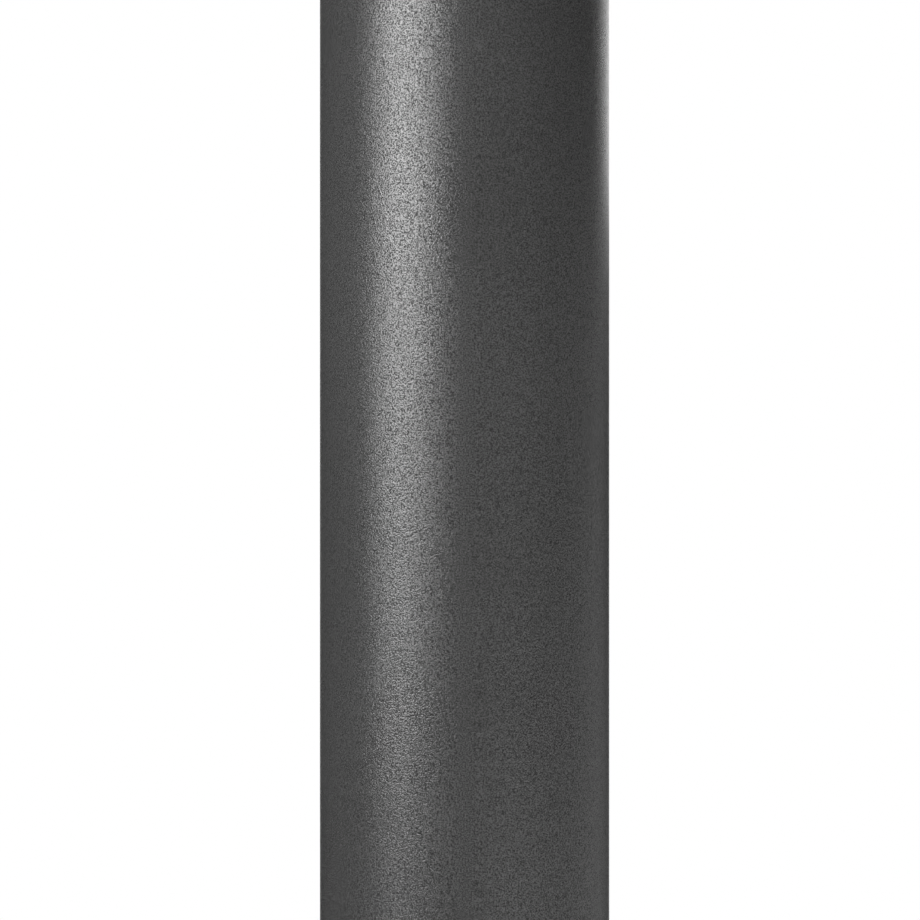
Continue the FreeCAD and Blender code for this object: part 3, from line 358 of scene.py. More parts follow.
MAKERS = {
    # graphite coat on the column: a fine sparkle in the highlight, near black away from it
    "column_coat": lambda: powder_coat("Graphite powder coat"),
    # the same coat on castings, a little coarser because their skin is
    "lantern_coat": lambda: powder_coat("Graphite powder coat on casting", 1.15),
    # extruded aluminium: fine die lines along the column
    "frame_aluminium": lambda: grained_metal(
        "Mill aluminium", "b4b5b6", "c6c6c4", 0.34, (1, 1, 0.02), 0.35 * MM, 0.03 * MM
    ),
    # stainless fasteners: close turning marks across the axis
    "stainless": lambda: grained_metal(
        "Stainless steel", "a9a7a3", "bcbab6", 0.26, (1, 1, 0.2), 0.3 * MM, 0.02 * MM
    ),
    # satin chrome on a zinc die casting: bright, with a faint polish haze
    "lock_zinc": lambda: grained_metal(
        "Satin chrome on zinc", "b7b8b9", "c4c5c6", 0.24, (1, 1, 1), 0.25 * MM, 0.01 * MM
    ),
    # turned brass of the earth terminal: warm, with short turning marks
    "earth_brass": lambda: grained_metal(
        "Turned brass", "b98f45", "cda75c", 0.28, (1, 1, 0.3), 0.3 * MM, 0.02 * MM
    ),
    # spring brass strip: rolling lines across the clip
    "fuse_brass": lambda: grained_metal(
        "Sprung brass", "b58c48", "c9a662", 0.32, (0.05, 1, 1), 0.3 * MM, 0.02 * MM
    ),
    "inner_steel": zinc_plate,
    # sponge rubber: dull black with an open skin
    "seal_rubber": lambda: moulded("Sponge rubber", "0f1011", "17181a", 0.85, 0.35 * MM, 0.08 * MM),
    # silicone seals: soft grey with a dusty sheen
    "seal_silicone": lambda: moulded("Grey silicone", "a8a8a5", "b5b5b2", 0.55, 0.5 * MM, 0.03 * MM, 1.41),
    # glass-filled nylon: grey with the dull, gritty skin of its filler
    "tray_plastic": lambda: moulded(
        "Grey glass-filled nylon", "8f9394", "9a9e9f", 0.52, 0.3 * MM, 0.05 * MM, 1.53
    ),
    # phenolic: hard, nearly black and half glossy
    "carrier_plastic": lambda: moulded("Black phenolic", "121314", "1b1c1e", 0.32, 0.4 * MM, 0.03 * MM, 1.6),
    # polyamide: ivory with a fine matt tool texture
    "terminal_plastic": lambda: moulded(
        "Ivory polyamide", "cfcab8", "dad6c6", 0.45, 0.3 * MM, 0.03 * MM, 1.53
    ),
    # polycarbonate housings: clean white with a soft gloss
    "gear_plastic": lambda: moulded(
        "White polycarbonate", "d6d8d7", "e2e3e2", 0.28, 0.5 * MM, 0.02 * MM, 1.585
    ),
    # fuse body: cream glaze, glossy over long low waves
    "fuse_ceramic": lambda: moulded("Glazed ceramic", "e4dfd3", "efebe1", 0.12, 2 * MM, 0.02 * MM, 1.5),
    # light board: flat white with the faint orange peel of solder mask
    "board_white": lambda: moulded("White solder mask", "dfe2dd", "e9ebe7", 0.3, 0.8 * MM, 0.01 * MM, 1.5),
    "led_phosphor": phosphor,
    # clear bowl: a cool edge and long, faint moulding waves
    "bowl_clear": lambda: clear("Clear polycarbonate", "f4f8f8", 1.585, 0.015, 30 * MM),
    # clear optic: cleaner and a little softer than the bowl
    "lens_clear": lambda: clear("Clear acrylic optic", "f6f9f8", 1.49, 0.03, 12 * MM),
}


def material_for(slot):
    """The finished material of one of the record's slots, made the first time it is asked for."""
    if slot not in material_for.made:
        material_for.made[slot] = MAKERS[slot]()
    return material_for.made[slot]


material_for.made = {}


# ---- modelling ----


def finish_piece(name, bm, body, slot, nodes=(), sharp=math.radians(40)):
    """Makes the piece from a closed shell, with soft shading over its broken edges."""
    bmesh.ops.remove_doubles(bm, verts=bm.verts, dist=1e-6)
    bmesh.ops.recalc_face_normals(bm, faces=bm.faces)
    mesh = bpy.data.meshes.new(name)
    bm.to_mesh(mesh)
    bm.free()
    mesh.shade_smooth()
    mesh.set_sharp_from_angle(angle=sharp)
    mesh.materials.append(material_for(slot))
    piece = bpy.data.objects.new(name, mesh)
    bpy.context.scene.collection.objects.link(piece)
    weighted = piece.modifiers.new("Flat faces lead", "WEIGHTED_NORMAL")
    weighted.keep_sharp = True
    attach(piece, body)
    if nodes:
        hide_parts(*nodes)
    return piece


def lathe(outline, steps, soft=0.0):
    """Turns a closed outline of (radius, height) points in millimetres about Z, with its corners broken."""
    bm = bmesh.new()
    corners = [bm.verts.new((r * MM, 0, z * MM)) for r, z in outline]
    bm.faces.new(corners)
    if soft:
        off_axis = [v for v in corners if v.co.x > 1e-6]
        bmesh.ops.bevel(
            bm,
            geom=off_axis,
            offset=soft,
            segments=3,
            profile=0.5,
            affect="VERTICES",
            material=-1,
            clamp_overlap=True,
        )
    bmesh.ops.delete(bm, geom=bm.faces[:], context="FACES_ONLY")
    on_axis = [e for e in bm.edges if all(v.co.x < 1e-6 for v in e.verts)]
    bmesh.ops.delete(bm, geom=on_axis, context="EDGES")
    bmesh.ops.spin(
        bm,
        geom=bm.verts[:] + bm.edges[:],
        cent=(0, 0, 0),
        axis=(0, 0, 1),
        dvec=(0, 0, 0),
        angle=math.tau,
        steps=steps,
        use_merge=True,
        use_duplicate=False,
    )
    bmesh.ops.remove_doubles(bm, verts=bm.verts, dist=1e-7)
    bmesh.ops.recalc_face_normals(bm, faces=bm.faces)
    return bm


def bar(bm, centre, half_width, half_height, corner, depth, turn=Matrix.Identity(4)):
    """Adds a bar of rounded-rectangle section, its section in XZ and its length centred on centre along Y."""
    made = bmesh.ops.create_grid(bm, x_segments=1, y_segments=1, size=1)["verts"]
    bmesh.ops.scale(bm, vec=(half_width, half_height, 1), verts=made)
    if corner:
        made = bmesh.ops.bevel(
            bm, geom=made, offset=corner, segments=10, profile=0.5, affect="VERTICES", material=-1
        )["verts"]
    face = next(f for f in bm.faces if made[0] in f.verts)
    face_verts = list(face.verts)
    grown = bmesh.ops.extrude_face_region(bm, geom=[face])["geom"]
    far = [v for v in grown if isinstance(v, bmesh.types.BMVert)]
    bmesh.ops.translate(bm, vec=(0, 0, depth), verts=far)
    every = face_verts + far
    bmesh.ops.translate(bm, vec=(0, 0, -depth / 2), verts=every)
    upright = Matrix.Rotation(math.radians(90), 4, "X")
    bmesh.ops.transform(bm, matrix=Matrix.Translation(centre) @ turn @ upright, verts=every)


def pin(bm, start, direction, radius, length, steps=32):
    """Adds a round bar from start along a direction."""
    along = Vector(direction).normalized()
    turn = along.to_track_quat("Z", "Y").to_matrix().to_4x4()
    middle = Vector(start) + along * (length / 2)
    bmesh.ops.create_cone(
        bm,
        cap_ends=True,
        cap_tris=False,
        segments=steps,
        radius1=radius,
        radius2=radius,
        depth=length,
        matrix=Matrix.Translation(middle) @ turn,
    )


def combine(bm, tools, operation):
    """Cuts tools from a shell, keeps what they share, or joins them to it, and returns the new shell."""
    objects = []
    for source in (bm, tools):
        bmesh.ops.recalc_face_normals(source, faces=source.faces)
        mesh = bpy.data.meshes.new("blank")
        source.to_mesh(mesh)
        source.free()
        thing = bpy.data.objects.new("blank", mesh)
        bpy.context.scene.collection.objects.link(thing)
        objects.append(thing)
    blank, tool = objects
    modifier = blank.modifiers.new("tool", "BOOLEAN")
    modifier.object = tool
    modifier.operation = operation
    modifier.solver = "EXACT"
    modifier.use_self = True
    result = bmesh.new()
    result.from_object(blank, bpy.context.evaluated_depsgraph_get())
    for thing in objects:
        mesh = thing.data
        bpy.data.objects.remove(thing)
        bpy.data.meshes.remove(mesh)
    if not result.faces:
        raise RuntimeError("a cut left nothing of its piece")
    return result


def break_edges(bm, width, least=math.radians(50)):
    """Breaks the sharp edges of a shell by a small round."""
    bmesh.ops.remove_doubles(bm, verts=bm.verts, dist=1e-6)
    sharp = [e for e in bm.edges if len(e.link_faces) == 2 and e.calc_face_angle() > least]
    bmesh.ops.bevel(
        bm,
        geom=sharp,
        offset=width,
        segments=2,
        profile=0.5,
        affect="EDGES",
        material=-1,
        clamp_overlap=True,
        loop_slide=True,
    )


def ring_places(radius, count, first=0.0):
    """Evenly spaced places on a circle about the column's axis, from a first angle in degrees."""
    turn = Matrix.Rotation(math.tau / count, 4, "Z")
    place = Matrix.Rotation(math.radians(first), 4, "Z") @ Vector((radius, 0, 0))
    places = []
    for _ in range(count):
        places.append(place.copy())
        place = turn @ place
    return places


def stem_holes(low, high):
    """Drills for the stem's four screws at each end."""
    drills = bmesh.new()
    for place in ring_places(STEM_SCREW_CIRCLE * MM, 4, 45):
        pin(drills, (place.x, place.y, low), (0, 0, 1), 2.8 * MM, high - low)
    return drills


def drill_lens_screws(drills, low, length):
    """Adds the drills for the lens ring's screws, which go up into the pan."""
    for place in ring_places(LENS_SCREW_CIRCLE * MM, LENS_SCREW_COUNT, LENS_SCREW_FIRST):
        pin(drills, (place.x, place.y, low), (0, 0, 1), LENS_SCREW_HOLE * MM, length)


def pipe(inner, outer, low, high):
    """The outline of a plain pipe's wall."""
    return [(inner, low), (outer, low), (outer, high), (inner, high)]


def block(bm, low, high):
    """Adds a box between two corners in millimetres."""
    low, high = Vector(low) * MM, Vector(high) * MM
    size = high - low
    stretch = Matrix.Diagonal((*size, 1))
    bmesh.ops.create_cube(bm, size=1, matrix=Matrix.Translation((low + high) / 2) @ stretch)


class LampPiece:
    """What every piece's operator shares."""

    bl_options = {"REGISTER", "UNDO"}


class LAMPPOST_OT_shaft(LampPiece, bpy.types.Operator):
    """Turns the column tube finely and cuts its door opening and rivet holes"""

    bl_idname = "lamp_post.shaft"
    bl_label = "Column tube"

    def execute(self, context):
        shape = settings()[0]
        low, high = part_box("shaft")
        door_low, door_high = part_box("door_panel")
        rivet_low, rivet_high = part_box("rail_rivets")
        outer = high.x / MM
        gap = 0.8 * MM
        corner = 10 * MM
        rivet_head = 4.8 * MM
        wall = pipe(outer - TUBE_WALL, outer, low.z / MM, high.z / MM)
        tube = lathe(wall, shape.round_steps, shape.edge)
        tools = bmesh.new()
        half_width = door_high.x + gap
        half_height = (door_high.z - door_low.z) / 2 + gap
        middle = (door_low.z + door_high.z) / 2
        bar(tools, (0, -outer * MM, middle), half_width, half_height, corner, outer * MM)
        for z in (rivet_low.z + rivet_head, rivet_high.z - rivet_head):
            pin(tools, (0, outer * MM - 5 * MM, z), (0, 1, 0), 2.5 * MM, 10 * MM)
        holed = combine(tube, tools, "DIFFERENCE")
        finish_piece("column_tube", holed, "column", "column_coat", ["shaft"])
        return {"FINISHED"}


class LAMPPOST_OT_flange(LampPiece, bpy.types.Operator):
    """Turns the base flange, drills its bolt holes and lays the rippled weld round the tube's foot"""

    bl_idname = "lamp_post.flange"
    bl_label = "Base flange and weld"

    def execute(self, context):
        shape = settings()[0]
        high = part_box("base_flange")[1]
        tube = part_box("shaft")[1].x / MM
        outer = high.x / MM
        thickness = 12
        seat_height = 4
        cable_hole = 30
        chamfer = 2
        bolt_circle = 100 * MM
        bolt_hole = 9 * MM
        seat = tube + FIT_GAP
        weld = high.z / MM - thickness
        plate = lathe(
            [
                (cable_hole, 0),
                (outer, 0),
                (outer, thickness - chamfer),
                (outer - chamfer, thickness),
                (seat, thickness),
                (seat, seat_height),
                (cable_hole, seat_height),
            ],
            shape.round_steps,
            shape.edge,
        )
        tools = bmesh.new()
        for place in ring_places(bolt_circle, ANCHOR_COUNT, ANCHOR_ANGLE):
            pin(tools, (place.x, place.y, -5 * MM), (0, 0, 1), bolt_hole, 30 * MM, 48)
        holed = combine(plate, tools, "DIFFERENCE")
        finish_piece("base_flange_plate", holed, "column", "column_coat", ["base_flange"])

        bead = lathe(
            [
                (seat, thickness),
                (seat + weld, thickness),
                (seat + weld * 0.74, thickness + weld * 0.36),
                (seat + weld * 0.36, thickness + weld * 0.74),
                (seat, thickness + weld),
            ],
            shape.round_steps * 4,
            0.0,
        )
        ripples = round(math.tau * seat * MM / shape.weld_pitch)
        for vertex in bead.verts:
            angle = math.atan2(vertex.co.y, vertex.co.x)
            lean = (vertex.co.z / MM - thickness) / weld
            height = abs(math.sin((angle * ripples + lean * 1.6) / 2))
            radius = math.hypot(vertex.co.x, vertex.co.y)
            if radius > seat * MM + 1e-6:
                sink = (1 - height) * 0.45 * MM
                share = (radius - sink) / radius
                vertex.co.x *= share
                vertex.co.y *= share
        finish_piece("base_weld", bead, "column", "column_coat")
        return {"FINISHED"}


class LAMPPOST_OT_door(LampPiece, bpy.types.Operator):
    """Cuts the flush door from a turned ring, with its spotface and lock hole"""

    bl_idname = "lamp_post.door"
    bl_label = "Service door"

    def execute(self, context):
        shape = settings()[0]
        low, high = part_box("door_panel")
        lock_low, lock_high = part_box("lock_housing")
        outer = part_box("shaft")[1].x / MM
        corner = 9.2 * MM
        spotface = 1.8 * MM
        spare = 5
        wall = pipe(outer - TUBE_WALL, outer, low.z / MM - spare, high.z / MM + spare)
        ring = lathe(wall, shape.round_steps)
        blank = bmesh.new()
        middle = (low.z + high.z) / 2
        bar(blank, (0, -outer * MM, middle), high.x, (high.z - low.z) / 2, corner, outer * 1.4 * MM)
        panel = combine(ring, blank, "INTERSECT")
        tools = bmesh.new()
        lock = Vector((0, 0, (lock_low.z + lock_high.z) / 2))
        pin(tools, lock, (0, -1, 0), 7.1 * MM, 60 * MM, shape.small_steps)
        seat = lock - Vector((0, outer * MM - spotface, 0))
        pin(tools, seat, (0, -1, 0), lock_high.x + 0.1 * MM, 10 * MM, shape.small_steps)
        panel = combine(panel, tools, "DIFFERENCE")
        break_edges(panel, shape.edge)
        finish_piece("service_door", panel, "door", "column_coat", ["door_panel"])
        return {"FINISHED"}


class LAMPPOST_OT_lock(LampPiece, bpy.types.Operator):
    """Turns the lock's housing and its barrel with the three-sided key stud"""

    bl_idname = "lamp_post.lock"
    bl_label = "Door lock"

    def execute(self, context):
        shape = settings()[0]
        low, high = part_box("lock_housing")
        centre = Vector((0, 0, (low.z + high.z) / 2))
        out = Matrix.Translation(centre) @ Matrix.Rotation(math.radians(90), 4, "X")
        head = high.x / MM
        front = -low.y / MM
        back = -high.y / MM
        head_height = 1.55
        bore = 5
        recess = 6.2
        recess_floor = front - head_height - 3
        housing = lathe(
            [
                (bore, back),
                (7, back),
                (7, front - head_height),
                (head, front - head_height),
                (head, front),
                (recess, front),
                (recess, recess_floor),
                (bore, recess_floor),
            ],
            shape.small_steps,
            0.25 * MM,
        )
        bmesh.ops.transform(housing, matrix=out, verts=housing.verts)
        finish_piece("lock_case", housing, "door", "lock_zinc", ["lock_housing"])

        barrel_low, barrel_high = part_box("lock_barrel")
        disc_back = back - 0.3 - 2
        collar = recess_floor + 0.1
        barrel = lathe(
            [
                (0, disc_back),
                (8, disc_back),
                (8, disc_back + 2),
                (bore - 0.1, disc_back + 2),
                (bore - 0.1, collar),
                (recess - 0.1, collar),
                (recess - 0.1, collar + 1),
                (0, collar + 1),
            ],
            shape.small_steps,
            0.15 * MM,
        )
        bmesh.ops.transform(barrel, matrix=out, verts=barrel.verts)
        stud = bmesh.new()
        pin(stud, (0, 0, (collar + 0.5) * MM), (0, 0, 1), 4.5 * MM, -barrel_low.y - (collar + 0.5) * MM, 3)
        break_edges(stud, 0.35 * MM)
        bmesh.ops.transform(stud, matrix=out, verts=stud.verts)
        crank = 5 * MM * math.sqrt(0.5)
        crank_back = -barrel_high.y
        pin(
            stud,
            centre + Vector((crank, barrel_high.y, -crank)),
            (0, -1, 0),
            2 * MM,
            (disc_back + 1) * MM - crank_back,
            shape.small_steps,
        )
        whole = combine(barrel, stud, "UNION")
        finish_piece("key_barrel", whole, "lock_barrel", "lock_zinc", ["lock_barrel"])
        return {"FINISHED"}


class LAMPPOST_OT_fuses(LampPiece, bpy.types.Operator):
    """Turns the two cartridge fuses: a glazed body between plated caps"""

    bl_idname = "lamp_post.fuses"
    bl_label = "Cartridge fuses"

    def execute(self, context):
        shape = settings()[0]
        for side in ("left", "right"):
            low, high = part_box(f"fuse_{side}")
            radius = (high.x - low.x) / 2 / MM
            length = (high.z - low.z) / MM
            cap = 8
            centre = Vector(((low.x + high.x) / 2, (low.y + high.y) / 2, low.z))
            fuse = lathe(
                [
                    (0, 0),
                    (radius, 0),
                    (radius, cap),
                    (radius - 0.6, cap),
                    (radius - 0.6, length - cap),
                    (radius, length - cap),
                    (radius, length),
                    (0, length),
                ],
                shape.small_steps,
                0.3 * MM,
            )
            for face in fuse.faces:
                height = face.calc_center_median().z / MM
                face.material_index = 0 if cap < height < length - cap else 1
            bmesh.ops.translate(fuse, vec=centre, verts=fuse.verts)
            piece = finish_piece(
                f"fuse_cartridge_{side}", fuse, f"fuse_carrier_{side}", "fuse_ceramic", [f"fuse_{side}"]
            )
            piece.data.materials.append(material_for("stainless"))
        return {"FINISHED"}


class LAMPPOST_OT_socket(LampPiece, bpy.types.Operator):
    """Turns the cast socket that slips over the post top, and drills it for its screws"""

    bl_idname = "lamp_post.socket"
    bl_label = "Post-top socket"

    def execute(self, context):
        shape = settings()[0]
        low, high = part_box("lantern_socket")
        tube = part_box("shaft")[1]
        post_top = tube.z / MM
        top = high.z / MM
        inner = tube.x / MM + 0.2
        outer = inner + 8
        overhang = high.x / MM
        lip = 8
        plate = 6
        socket = lathe(
            [
                (inner, low.z / MM),
                (outer, low.z / MM),
                (outer, post_top - 5),
                (overhang, top - lip),
                (overhang, top),
                (THROAT, top),
                (THROAT, top - plate),
                (overhang - lip, top - plate),
                (outer - 4, post_top + plate),
                (THROAT, post_top + plate),
                (THROAT, post_top + FIT_GAP),
                (inner, post_top + FIT_GAP),
            ],
            shape.round_steps,
            1.2 * MM,
        )
        tools = bmesh.new()
        for drop in (35, 75):
            for degrees in (30, 150, 270):
                angle = math.radians(degrees)
                outwards = Vector((math.cos(angle), math.sin(angle), 0))
                start = outwards * (inner - 5) * MM + Vector((0, 0, (post_top - drop) * MM))
                pin(tools, start, outwards, 4.05 * MM, 30 * MM, shape.small_steps)
        socket = combine(socket, tools, "DIFFERENCE")
        drilled = combine(socket, stem_holes((top - plate * 1.5) * MM, (top + 5) * MM), "DIFFERENCE")
        finish_piece("post_top_socket", drilled, "column", "lantern_coat", ["lantern_socket"])
        return {"FINISHED"}


class LAMPPOST_OT_stem(LampPiece, bpy.types.Operator):
    """Turns the stem that stands in the bowl, with its clamping foot and its head, and drills it"""

    bl_idname = "lamp_post.stem"
    bl_label = "Stem"

    def execute(self, context):
        shape = settings()[0]
        low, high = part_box("lantern_stem")
        foot = low.z / MM
        top = high.z / MM
        rim = foot + 6.2
        tube = 24
        bore = tube - TUBE_WALL
        head = 60
        head_plate = 6
        spigot = 53
        foot_radius = high.x / MM
        stem = lathe(
            [
                (bore, foot),
                (spigot, foot),
                (spigot, rim),
                (foot_radius, rim),
                (foot_radius, rim + 4),
                (tube, rim + 4),
                (tube, top - head_plate),
                (head, top - head_plate),
                (head, top),
                (bore, top),
            ],
            shape.round_steps,
            0.6 * MM,
        )
        drilled = combine(stem, stem_holes(low.z - 5 * MM, high.z + 5 * MM), "DIFFERENCE")
        finish_piece("lantern_stem_tube", drilled, "column", "lantern_coat", ["lantern_stem"])
        return {"FINISHED"}


class LAMPPOST_OT_bowl(LampPiece, bpy.types.Operator):
    """Turns the clear conical bowl"""

    bl_idname = "lamp_post.bowl"
    bl_label = "Bowl"

    def execute(self, context):
        shape = settings()[0]
        low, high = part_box("bowl")
        foot = low.z / MM
        mouth = high.z / MM
        wall = 4
        slant_wall = wall * 1.15
        foot_radius = 72
        mouth_radius = high.x / MM
        clamp = 55
        bowl = lathe(
            [
                (clamp, foot),
                (foot_radius, foot),
                (mouth_radius, mouth),
                (mouth_radius - slant_wall, mouth),
                (foot_radius - slant_wall / 2, foot + wall),
                (clamp, foot + wall),
            ],
            shape.round_steps,
            0.8 * MM,
        )
        finish_piece("clear_bowl", bowl, "column", "bowl_clear", ["bowl"])
        return {"FINISHED"}


class LAMPPOST_OT_lens(LampPiece, bpy.types.Operator):
    """Turns the clear lens ring and moulds a dome on it under each light source"""

    bl_idname = "lamp_post.lens"
    bl_label = "Lens ring"

    def execute(self, context):
        shape = settings()[0]
        low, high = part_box("lens_ring")
        outer = high.x / MM
        inner = 62
        wall = 2.5
        bottom = low.z / MM
        top = high.z / MM
        ring = lathe(
            [
                (inner, bottom),
                (outer, bottom),
                (outer, top),
                (outer - wall, top),
                (outer - wall, bottom + wall),
                (inner + wall, bottom + wall),
                (inner + wall, top),
                (inner, top),
            ],
            shape.round_steps,
            0.5 * MM,
        )
        domes = bmesh.new()
        bulge = 1.6 * MM
        root = low.z + wall * MM / 2
        for radius, count in ((98, 16), (152, 24)):
            for place in ring_places(radius * MM, count):
                centre = Matrix.Translation((place.x, place.y, low.z + shape.lens_dome - bulge))
                bmesh.ops.create_uvsphere(
                    domes, u_segments=24, v_segments=16, radius=shape.lens_dome, matrix=centre
                )
        cut = bmesh.ops.bisect_plane(
            domes,
            geom=domes.verts[:] + domes.edges[:] + domes.faces[:],
            plane_co=(0, 0, root),
            plane_no=(0, 0, 1),
            clear_outer=True,
        )
        rims = [e for e in cut["geom_cut"] if isinstance(e, bmesh.types.BMEdge)]
        bmesh.ops.holes_fill(domes, edges=rims)
        lens = combine(ring, domes, "UNION")
        drills = bmesh.new()
        drill_lens_screws(drills, low.z - 1 * MM, 5 * MM)
        drilled = combine(lens, drills, "DIFFERENCE")
        finish_piece("lens_optic", drilled, "column", "lens_clear", ["lens_ring"])
        return {"FINISHED"}


class LAMPPOST_OT_pan(LampPiece, bpy.types.Operator):
    """Turns the canopy's pan, adds its hinge knuckles and its screw lug, and drills it"""

    bl_idname = "lamp_post.pan"
    bl_label = "Canopy pan"

    def execute(self, context):
        shape = settings()[0]
        low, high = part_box("canopy_pan")
        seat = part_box("lantern_stem")[1].z / MM
        hinge = (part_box("hinge_pin")[0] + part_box("hinge_pin")[1]) / 2 / MM
        lug_y = (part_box("lid_screw")[0].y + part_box("lid_screw")[1].y) / 2 / MM
        outer = high.x / MM
        plate = 4
        skirt = 206
        pan = lathe(
            [
                (THROAT, seat),
                (skirt, seat),
                (skirt, low.z / MM),
                (skirt + plate, low.z / MM),
                (skirt + plate, seat),
                (outer, seat),
                (outer, high.z / MM),
                (outer - plate, high.z / MM),
                (outer - plate, seat + plate),
                (THROAT, seat + plate),
            ],
            shape.round_steps,
            0.8 * MM,
        )
        near = 12.3
        far = 26
        knuckle = 5
        extras = bmesh.new()
        block(extras, (-9, low.y / MM, seat - 6), (9, 2 - outer, seat + plate))
        for side in (1, -1):
            left, right = sorted((near * side, far * side))
            block(extras, (left, outer - 2, hinge.z - knuckle), (right, hinge.y, hinge.z - 1))
        break_edges(extras, shape.edge)
        body = combine(pan, extras, "UNION")
        knuckles = bmesh.new()
        for start in (near, -far):
            pin(
                knuckles,
                Vector((start, hinge.y, hinge.z)) * MM,
                (1, 0, 0),
                knuckle * MM,
                (far - near) * MM,
                shape.small_steps,
            )
        break_edges(knuckles, shape.edge / 2)
        body = combine(body, knuckles, "UNION")
        drills = stem_holes((seat - 1) * MM, (seat + plate + 1) * MM)
        pin(drills, Vector((-far - 5, hinge.y, hinge.z)) * MM, (1, 0, 0), 3.05 * MM, (far + 5) * 2 * MM)
        pin(drills, Vector((0, lug_y, seat - 10)) * MM, (0, 0, 1), 3.3 * MM, 20 * MM)
        drill_lens_screws(drills, (seat - 1) * MM, (plate + 2) * MM)
        drilled = combine(body, drills, "DIFFERENCE")
        finish_piece("canopy_tray", drilled, "column", "lantern_coat", ["canopy_pan"])
        return {"FINISHED"}


class LAMPPOST_OT_lid(LampPiece, bpy.types.Operator):
    """Turns the domed lid, adds its hinge leaf, knuckle and screw lug, and drills it"""

    bl_idname = "lamp_post.lid"
    bl_label = "Canopy lid"

    def execute(self, context):
        shape = settings()[0]
        low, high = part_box("canopy_lid")
        hinge = (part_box("hinge_pin")[0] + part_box("hinge_pin")[1]) / 2 / MM
        lug_y = (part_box("lid_screw")[0].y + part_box("lid_screw")[1].y) / 2 / MM
        outer = high.x / MM
        wall = 2.5
        crown = high.z / MM
        rise = 48
        rim = crown - rise
        skirt_end = rim - 21
        dome = (outer * outer + rise * rise) / (2 * rise)
        steps = 24

        def arc(radius, reach, first, last):
            """Points of the dome's arc from one share of its reach to another."""
            points = []
            for i in range(first, last, 1 if last > first else -1):
                along = reach * i / steps
                points.append((along, crown - dome + math.sqrt(radius * radius - along * along)))
            return points

        outside = arc(dome, outer, steps - 1, -1)
        inside = arc(dome - wall, outer - wall, 0, steps + 1)
        shell = lathe(
            [
                (outer, skirt_end),
                (outer, rim - 4),
                (outer - 0.6, rim - 1.4),
                (outer - 2.4, rim + 0.5),
                (outer - 5, outside[0][1] - 0.9),
                *outside,
                *inside,
                (outer - wall, skirt_end),
            ],
            shape.round_steps,
        )
        extras = bmesh.new()
        leaf_low = hinge.z + 3
        block(extras, (-12, outer - 1.5, leaf_low), (12, hinge.y + 2, skirt_end + 6))
        block(extras, (-9, low.y / MM, skirt_end + 4), (9, 1.5 - outer, skirt_end + 12))
        break_edges(extras, shape.edge)
        body = combine(shell, extras, "UNION")
        knuckle = bmesh.new()
        pin(knuckle, Vector((-12, hinge.y, hinge.z)) * MM, (1, 0, 0), 5 * MM, 24 * MM, shape.small_steps)
        break_edges(knuckle, shape.edge / 2)
        body = combine(body, knuckle, "UNION")
        drills = bmesh.new()
        pin(drills, Vector((-20, hinge.y, hinge.z)) * MM, (1, 0, 0), 3.1 * MM, 40 * MM)
        pin(drills, Vector((0, lug_y, skirt_end)) * MM, (0, 0, 1), 3.05 * MM, 20 * MM)
        drilled = combine(body, drills, "DIFFERENCE")
        finish_piece("domed_lid", drilled, "canopy_lid", "lantern_coat", ["canopy_lid"])
        return {"FINISHED"}


class LAMPPOST_OT_finishes(LampPiece, bpy.types.Operator):
    """Gives every carried-over piece the finish of its slot"""

    bl_idname = "lamp_post.finishes"
    bl_label = "Finishes"

    def execute(self, context):
        for part in frame["record"]["subparts"]:
            node = frame["nodes"][part["node"]]
            node.data.materials.clear()
            node.data.materials.append(material_for(part["material_slot"]))
        return {"FINISHED"}


# ---- stage ----


def soft_light(name, place, width, height, glow, aim=None):
    """A soft box facing the column, at its own height unless it aims at another. It isn't seen itself."""
    light = bpy.data.lights.new(name, "AREA")
    light.shape = "RECTANGLE"
    light.size = width
    light.size_y = height
    light.energy = glow * math.pi * width * height
    lamp = bpy.data.objects.new(name, light)
    lamp.location = place
    target = Vector((0, 0, aim or place.z))
    lamp.rotation_euler = (target - place).to_track_quat("-Z", "Y").to_euler()
    lamp.visible_camera = False
    bpy.context.scene.collection.objects.link(lamp)


def around_axis(degrees, distance, height):
    """A place round the column: 0 degrees is in front of the door, and they grow towards +X."""
    angle = math.radians(degrees)
    return Vector((math.sin(angle) * distance, -math.cos(angle) * distance, height))


